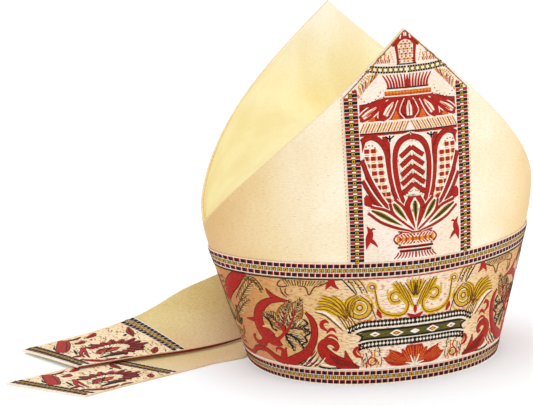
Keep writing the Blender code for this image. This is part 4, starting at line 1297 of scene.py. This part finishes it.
def lappet_end(draw, palette):
    """Half opened rose, ribbon and sprigs on a lappet's end. x counts back from its tip."""
    for fleck in range(190):
        x, y = random.uniform(-84, -14), random.uniform(-34, 34)
        silk = random.choice(("gold", "brown", "orange", "white", "olive", "red"))
        draw(silk, 0, [(x, y), (x + random.uniform(0.6, 2.0), y - random.uniform(2.4, 4.5))],
             [0.3, 0.6])
    # Ragged petals round a white ring and a red heart.
    for step in range(13):
        angle = math.radians(48.0 + 20.5 * step)
        out = 1.0 + 0.12 * (step % 2)
        petal = [oval(-50, -10, 12.5, 8.5, angle), oval(-50, -10, 18.5, 13, angle, 0.1),
                 oval(-50, -10, 24.5 * out, 17 * out, angle)]
        draw("red", 2, petal, [2.4, 3.7, 0.6], edging="black")
        draw("maroon", 3, petal, [0.8, 1.1, 0.3])
        draw("black", 3, beside(petal, 1.7), [0.3, 0.5, 0.2])
    for step in range(14):
        angle = math.radians(25.0 * step)
        petal = [oval(-44, -12, 7, 4, angle), oval(-45, -12, 14.5, 8.8, angle)]
        draw("white", 4, petal, [1.6, 1.9], edging="brown")
        draw("gold", 5, petal, 0.4)
    draw("red", 6, [(-53, -12), (-46, -13), (-38, -13), (-31, -16)], [1, 4.4, 4.8, 1.2],
         edging="black")
    draw("black", 8, [(-48, -9), (-43, -12.5), (-38, -17)], [0.6, 1.4, 0.6],
         [(-44, -9.5), (-38, -9.8), (-34, -13)], [0.4, 0.9, 0.4])
    draw("orange", 8, [(-49, -14), (-42, -16), (-35, -15)], [0.4, 0.9, 0.4])
    draw("red", 2, [(-33, 5), (-28, -1), (-22, -8), (-18.5, -18)], [1.8, 1.4, 1.2, 0.4],
         [(-31, 1), (-27, -7), (-23.5, -14), (-21, -21)], [1, 1, 0.9, 0.3], edging="black")
    draw("black", 5, [(-50, -27), (-44, -25), (-36, -25), (-27, -26)], [0.6, 2.2, 1.6, 0.5])
    draw("black", 3, [(-24, 4), (-21, -3), (-18, -9)], [0.4, 1.1, 0.3],
         [(-19, 22), (-16, 18), (-14, 14)], [0.3, 0.9, 0.3])
    # The ribbon over it, leaves at the edges, and the second ribbon under it.
    draw("red", 2, [(-33, 32), (-27, 22), (-18, 10), (-13, 4)], [3.6, 5, 5, 3.6], edging="black")
    draw("lotus", 3, [(-29, 30), (-21, 18), (-13.5, 9)], 0.7)
    draw("maroon", 3, [(-32, 26), (-26, 16), (-18, 5)], 0.7)
    for points, widths in (
            ([(-43, 21), (-39, 17), (-34, 18)], [1.2, 3, 1.6]),
            ([(-60, 31), (-55, 26.5), (-49, 25)], [1, 2.8, 1]),
            ([(-47, 30), (-41, 28), (-35, 29)], [0.6, 1.6, 0.6]),
            ([(-83, 22), (-79, 13), (-75.5, 3)], [0.6, 2.6, 0.4]),
            ([(-77, -25), (-72, -30), (-68, -35)], [0.8, 2.6, 0.6]),
            ([(-50, -36), (-43, -34.5), (-37, -36)], [0.8, 2.4, 0.8]),
            ([(-36, -33), (-30, -33.5), (-24, -35.5)], [0.8, 2.4, 1.2]),
            ([(-26, -35.5), (-19, -30), (-12, -22)], [2.4, 2.6, 1.8]),
            ([(-21, -11.5), (-16, -13), (-12, -12.5)], [0.8, 2, 1])):
        draw("red", 2, points, widths, edging="black")
        draw("black", 3, points, [0.2, 0.7, 0.2])
    draw("black", 2, [(-74, 11), (-71, 8.5)], 1.2, [(-68, -21), (-64, -23)], 1.2)
    for low in (LAPPET_HEM, LAPPET_HEM + LAPPET_GALLOON + LAPPET_BROCADE + 2 * GAP):
        check_galloon(palette, LAPPET_WOVEN, (-low - 1.7, -low - 5.0, -low - 8.3),
                      lambda along, row: (row, along), LAPPET_PITCH, "maroon")
        draw("white", 1, [(-low - 10.2, -36), (-low - 10.2, 36)], 0.5, spacing=4.0)


for side, run in (("near", near_run), ("far", far_run)):
    palette, draw = open_palette()
    lappet_end(draw, palette)
    for pattern in palette.values():
        if pattern.verts:
            for turn in (-1.0, 1.0):
                cut_off(pattern, (0.0, turn * (run.foot / 2.0 - 0.6), 0.0), (0.0, turn, 0.0))
    sew_palette(side + "_end", palette,
                lambda along, across, lift, run=run: run(
                    run.end + along, -across, lift + TRIM[1]))

# ---- seams ----------------------------------------------------------------------------
# The peaks' edges are rolled over a cord, and the lining is whipped to them inside. The
# cords start just beside the side points.
rise = np.linspace(0.004, 1.0, 90)
level = np.interp(rise, RISE, EDGE_LEVEL)
along = np.interp(rise, RISE, EDGE_ALONG)
for name, drop, depth, radius, finish in (
        ("peak_seam", 0.8, WALL / 2.0, 1.05, seam_cord),
        ("lining_seam", 1.3, WALL + 0.7, 1.0, lining_satin)):
    half = wall(along, level - drop, np.full_like(level, -depth))
    line = np.vstack([half * (-1.0, 1.0, 1.0), half[-2::-1]])
    piping("front_" + name, line, radius, finish, 3)
    piping("back_" + name, line * (-1.0, -1.0, 1.0), radius, finish, 3)

# A bar tack closes each side point, where the peaks part.
for name, side in (("left_bar_tack", -1.0), ("right_bar_tack", 1.0)):
    thread = []
    for index, share in enumerate((0.003, 0.008, 0.013, 0.018, 0.023)):
        level = np.array([np.interp(share, RISE, EDGE_LEVEL)])
        along = np.array([np.interp(share, RISE, EDGE_ALONG)]) * side
        front = wall(along, level - 1.2, np.array([-WALL / 2.0]))[0]
        back = front * (1.0, -1.0, 1.0)
        thread += [back, front] if index % 2 else [front, back]
    piping(name, np.array(thread), 0.75, seam_cord)

# ---- stage, light and camera ----------------------------------------------------------
FLOOR_HALF = 6.0        # metres, so that its edge is out of view
scene = bpy.context.scene
floor_mesh = bpy.data.meshes.new("floor")
slab = bmesh.new()
bmesh.ops.create_grid(slab, x_segments=1, y_segments=1, size=FLOOR_HALF)
slab.to_mesh(floor_mesh)
slab.free()
floor = bpy.data.objects.new("floor", floor_mesh)
scene.collection.objects.link(floor)
# Matt white studio paper; a trace of its own light keeps it as white as the photograph's.
floor_mesh.materials.append(plain_finish(
    "matt white paper", "F4F8FC", ("Roughness", 0.9), ("Emission Color", linear("FFFFFF")),
    ("Emission Strength", 0.07)))

sky = bpy.data.worlds.new("studio")
sky.use_nodes = True
sky.node_tree.nodes["Background"].inputs["Color"].default_value = (1.0, 1.0, 1.0, 1.0)
sky.node_tree.nodes["Background"].inputs["Strength"].default_value = 1.0
scene.world = sky
scene.view_settings.view_transform = "Standard"


def softbox(name, place, target, size, power, colour):
    lamp = bpy.data.lights.new(name, "AREA")
    lamp.shape = "SQUARE"
    lamp.size = size
    lamp.energy = power
    lamp.color = linear(colour)[:3]
    holder = bpy.data.objects.new(name, lamp)
    holder.location = place
    holder.rotation_euler = (Vector(target) - Vector(place)).to_track_quat("-Z", "Y").to_euler()
    scene.collection.objects.link(holder)


softbox("key", (1.3, -1.2, 0.8), (0.0, 0.0, 0.12), 0.8, 4.0, "FFFAF2")
softbox("top", (-0.2, 0.3, 1.8), (0.0, 0.0, 0.1), 1.4, 7.0, "FFFFFF")

# The photograph is a long-lens view from the front left and a little above.
AZIMUTH, DISTANCE, CAMERA_HEIGHT = math.radians(20.338), 1.8151, 0.5505
AIM_HEIGHT, AIM_LEFT = 0.12646, 0.08326
ROLL = math.radians(-2.03)
FOCAL_PIXELS, PHOTO_WIDTH = 2285.126, 533.0
eye = Vector((-math.sin(AZIMUTH) * DISTANCE, -math.cos(AZIMUTH) * DISTANCE, CAMERA_HEIGHT))
rightward = Vector((math.cos(AZIMUTH), -math.sin(AZIMUTH), 0.0))
ahead = (Vector((0.0, 0.0, AIM_HEIGHT)) - rightward * AIM_LEFT - eye).normalized()
level_right = ahead.cross(Vector((0.0, 0.0, 1.0))).normalized()
level_up = level_right.cross(ahead)
right = level_right * math.cos(ROLL) + level_up * math.sin(ROLL)
up = level_up * math.cos(ROLL) - level_right * math.sin(ROLL)
lens = bpy.data.cameras.new("camera")
lens.sensor_width = 36.0
lens.lens = FOCAL_PIXELS / PHOTO_WIDTH * lens.sensor_width
camera = bpy.data.objects.new("camera", lens)
camera.matrix_world = Matrix.Translation(eye) @ Matrix((right, up, -ahead)).transposed().to_4x4()
scene.collection.objects.link(camera)
scene.camera = camera
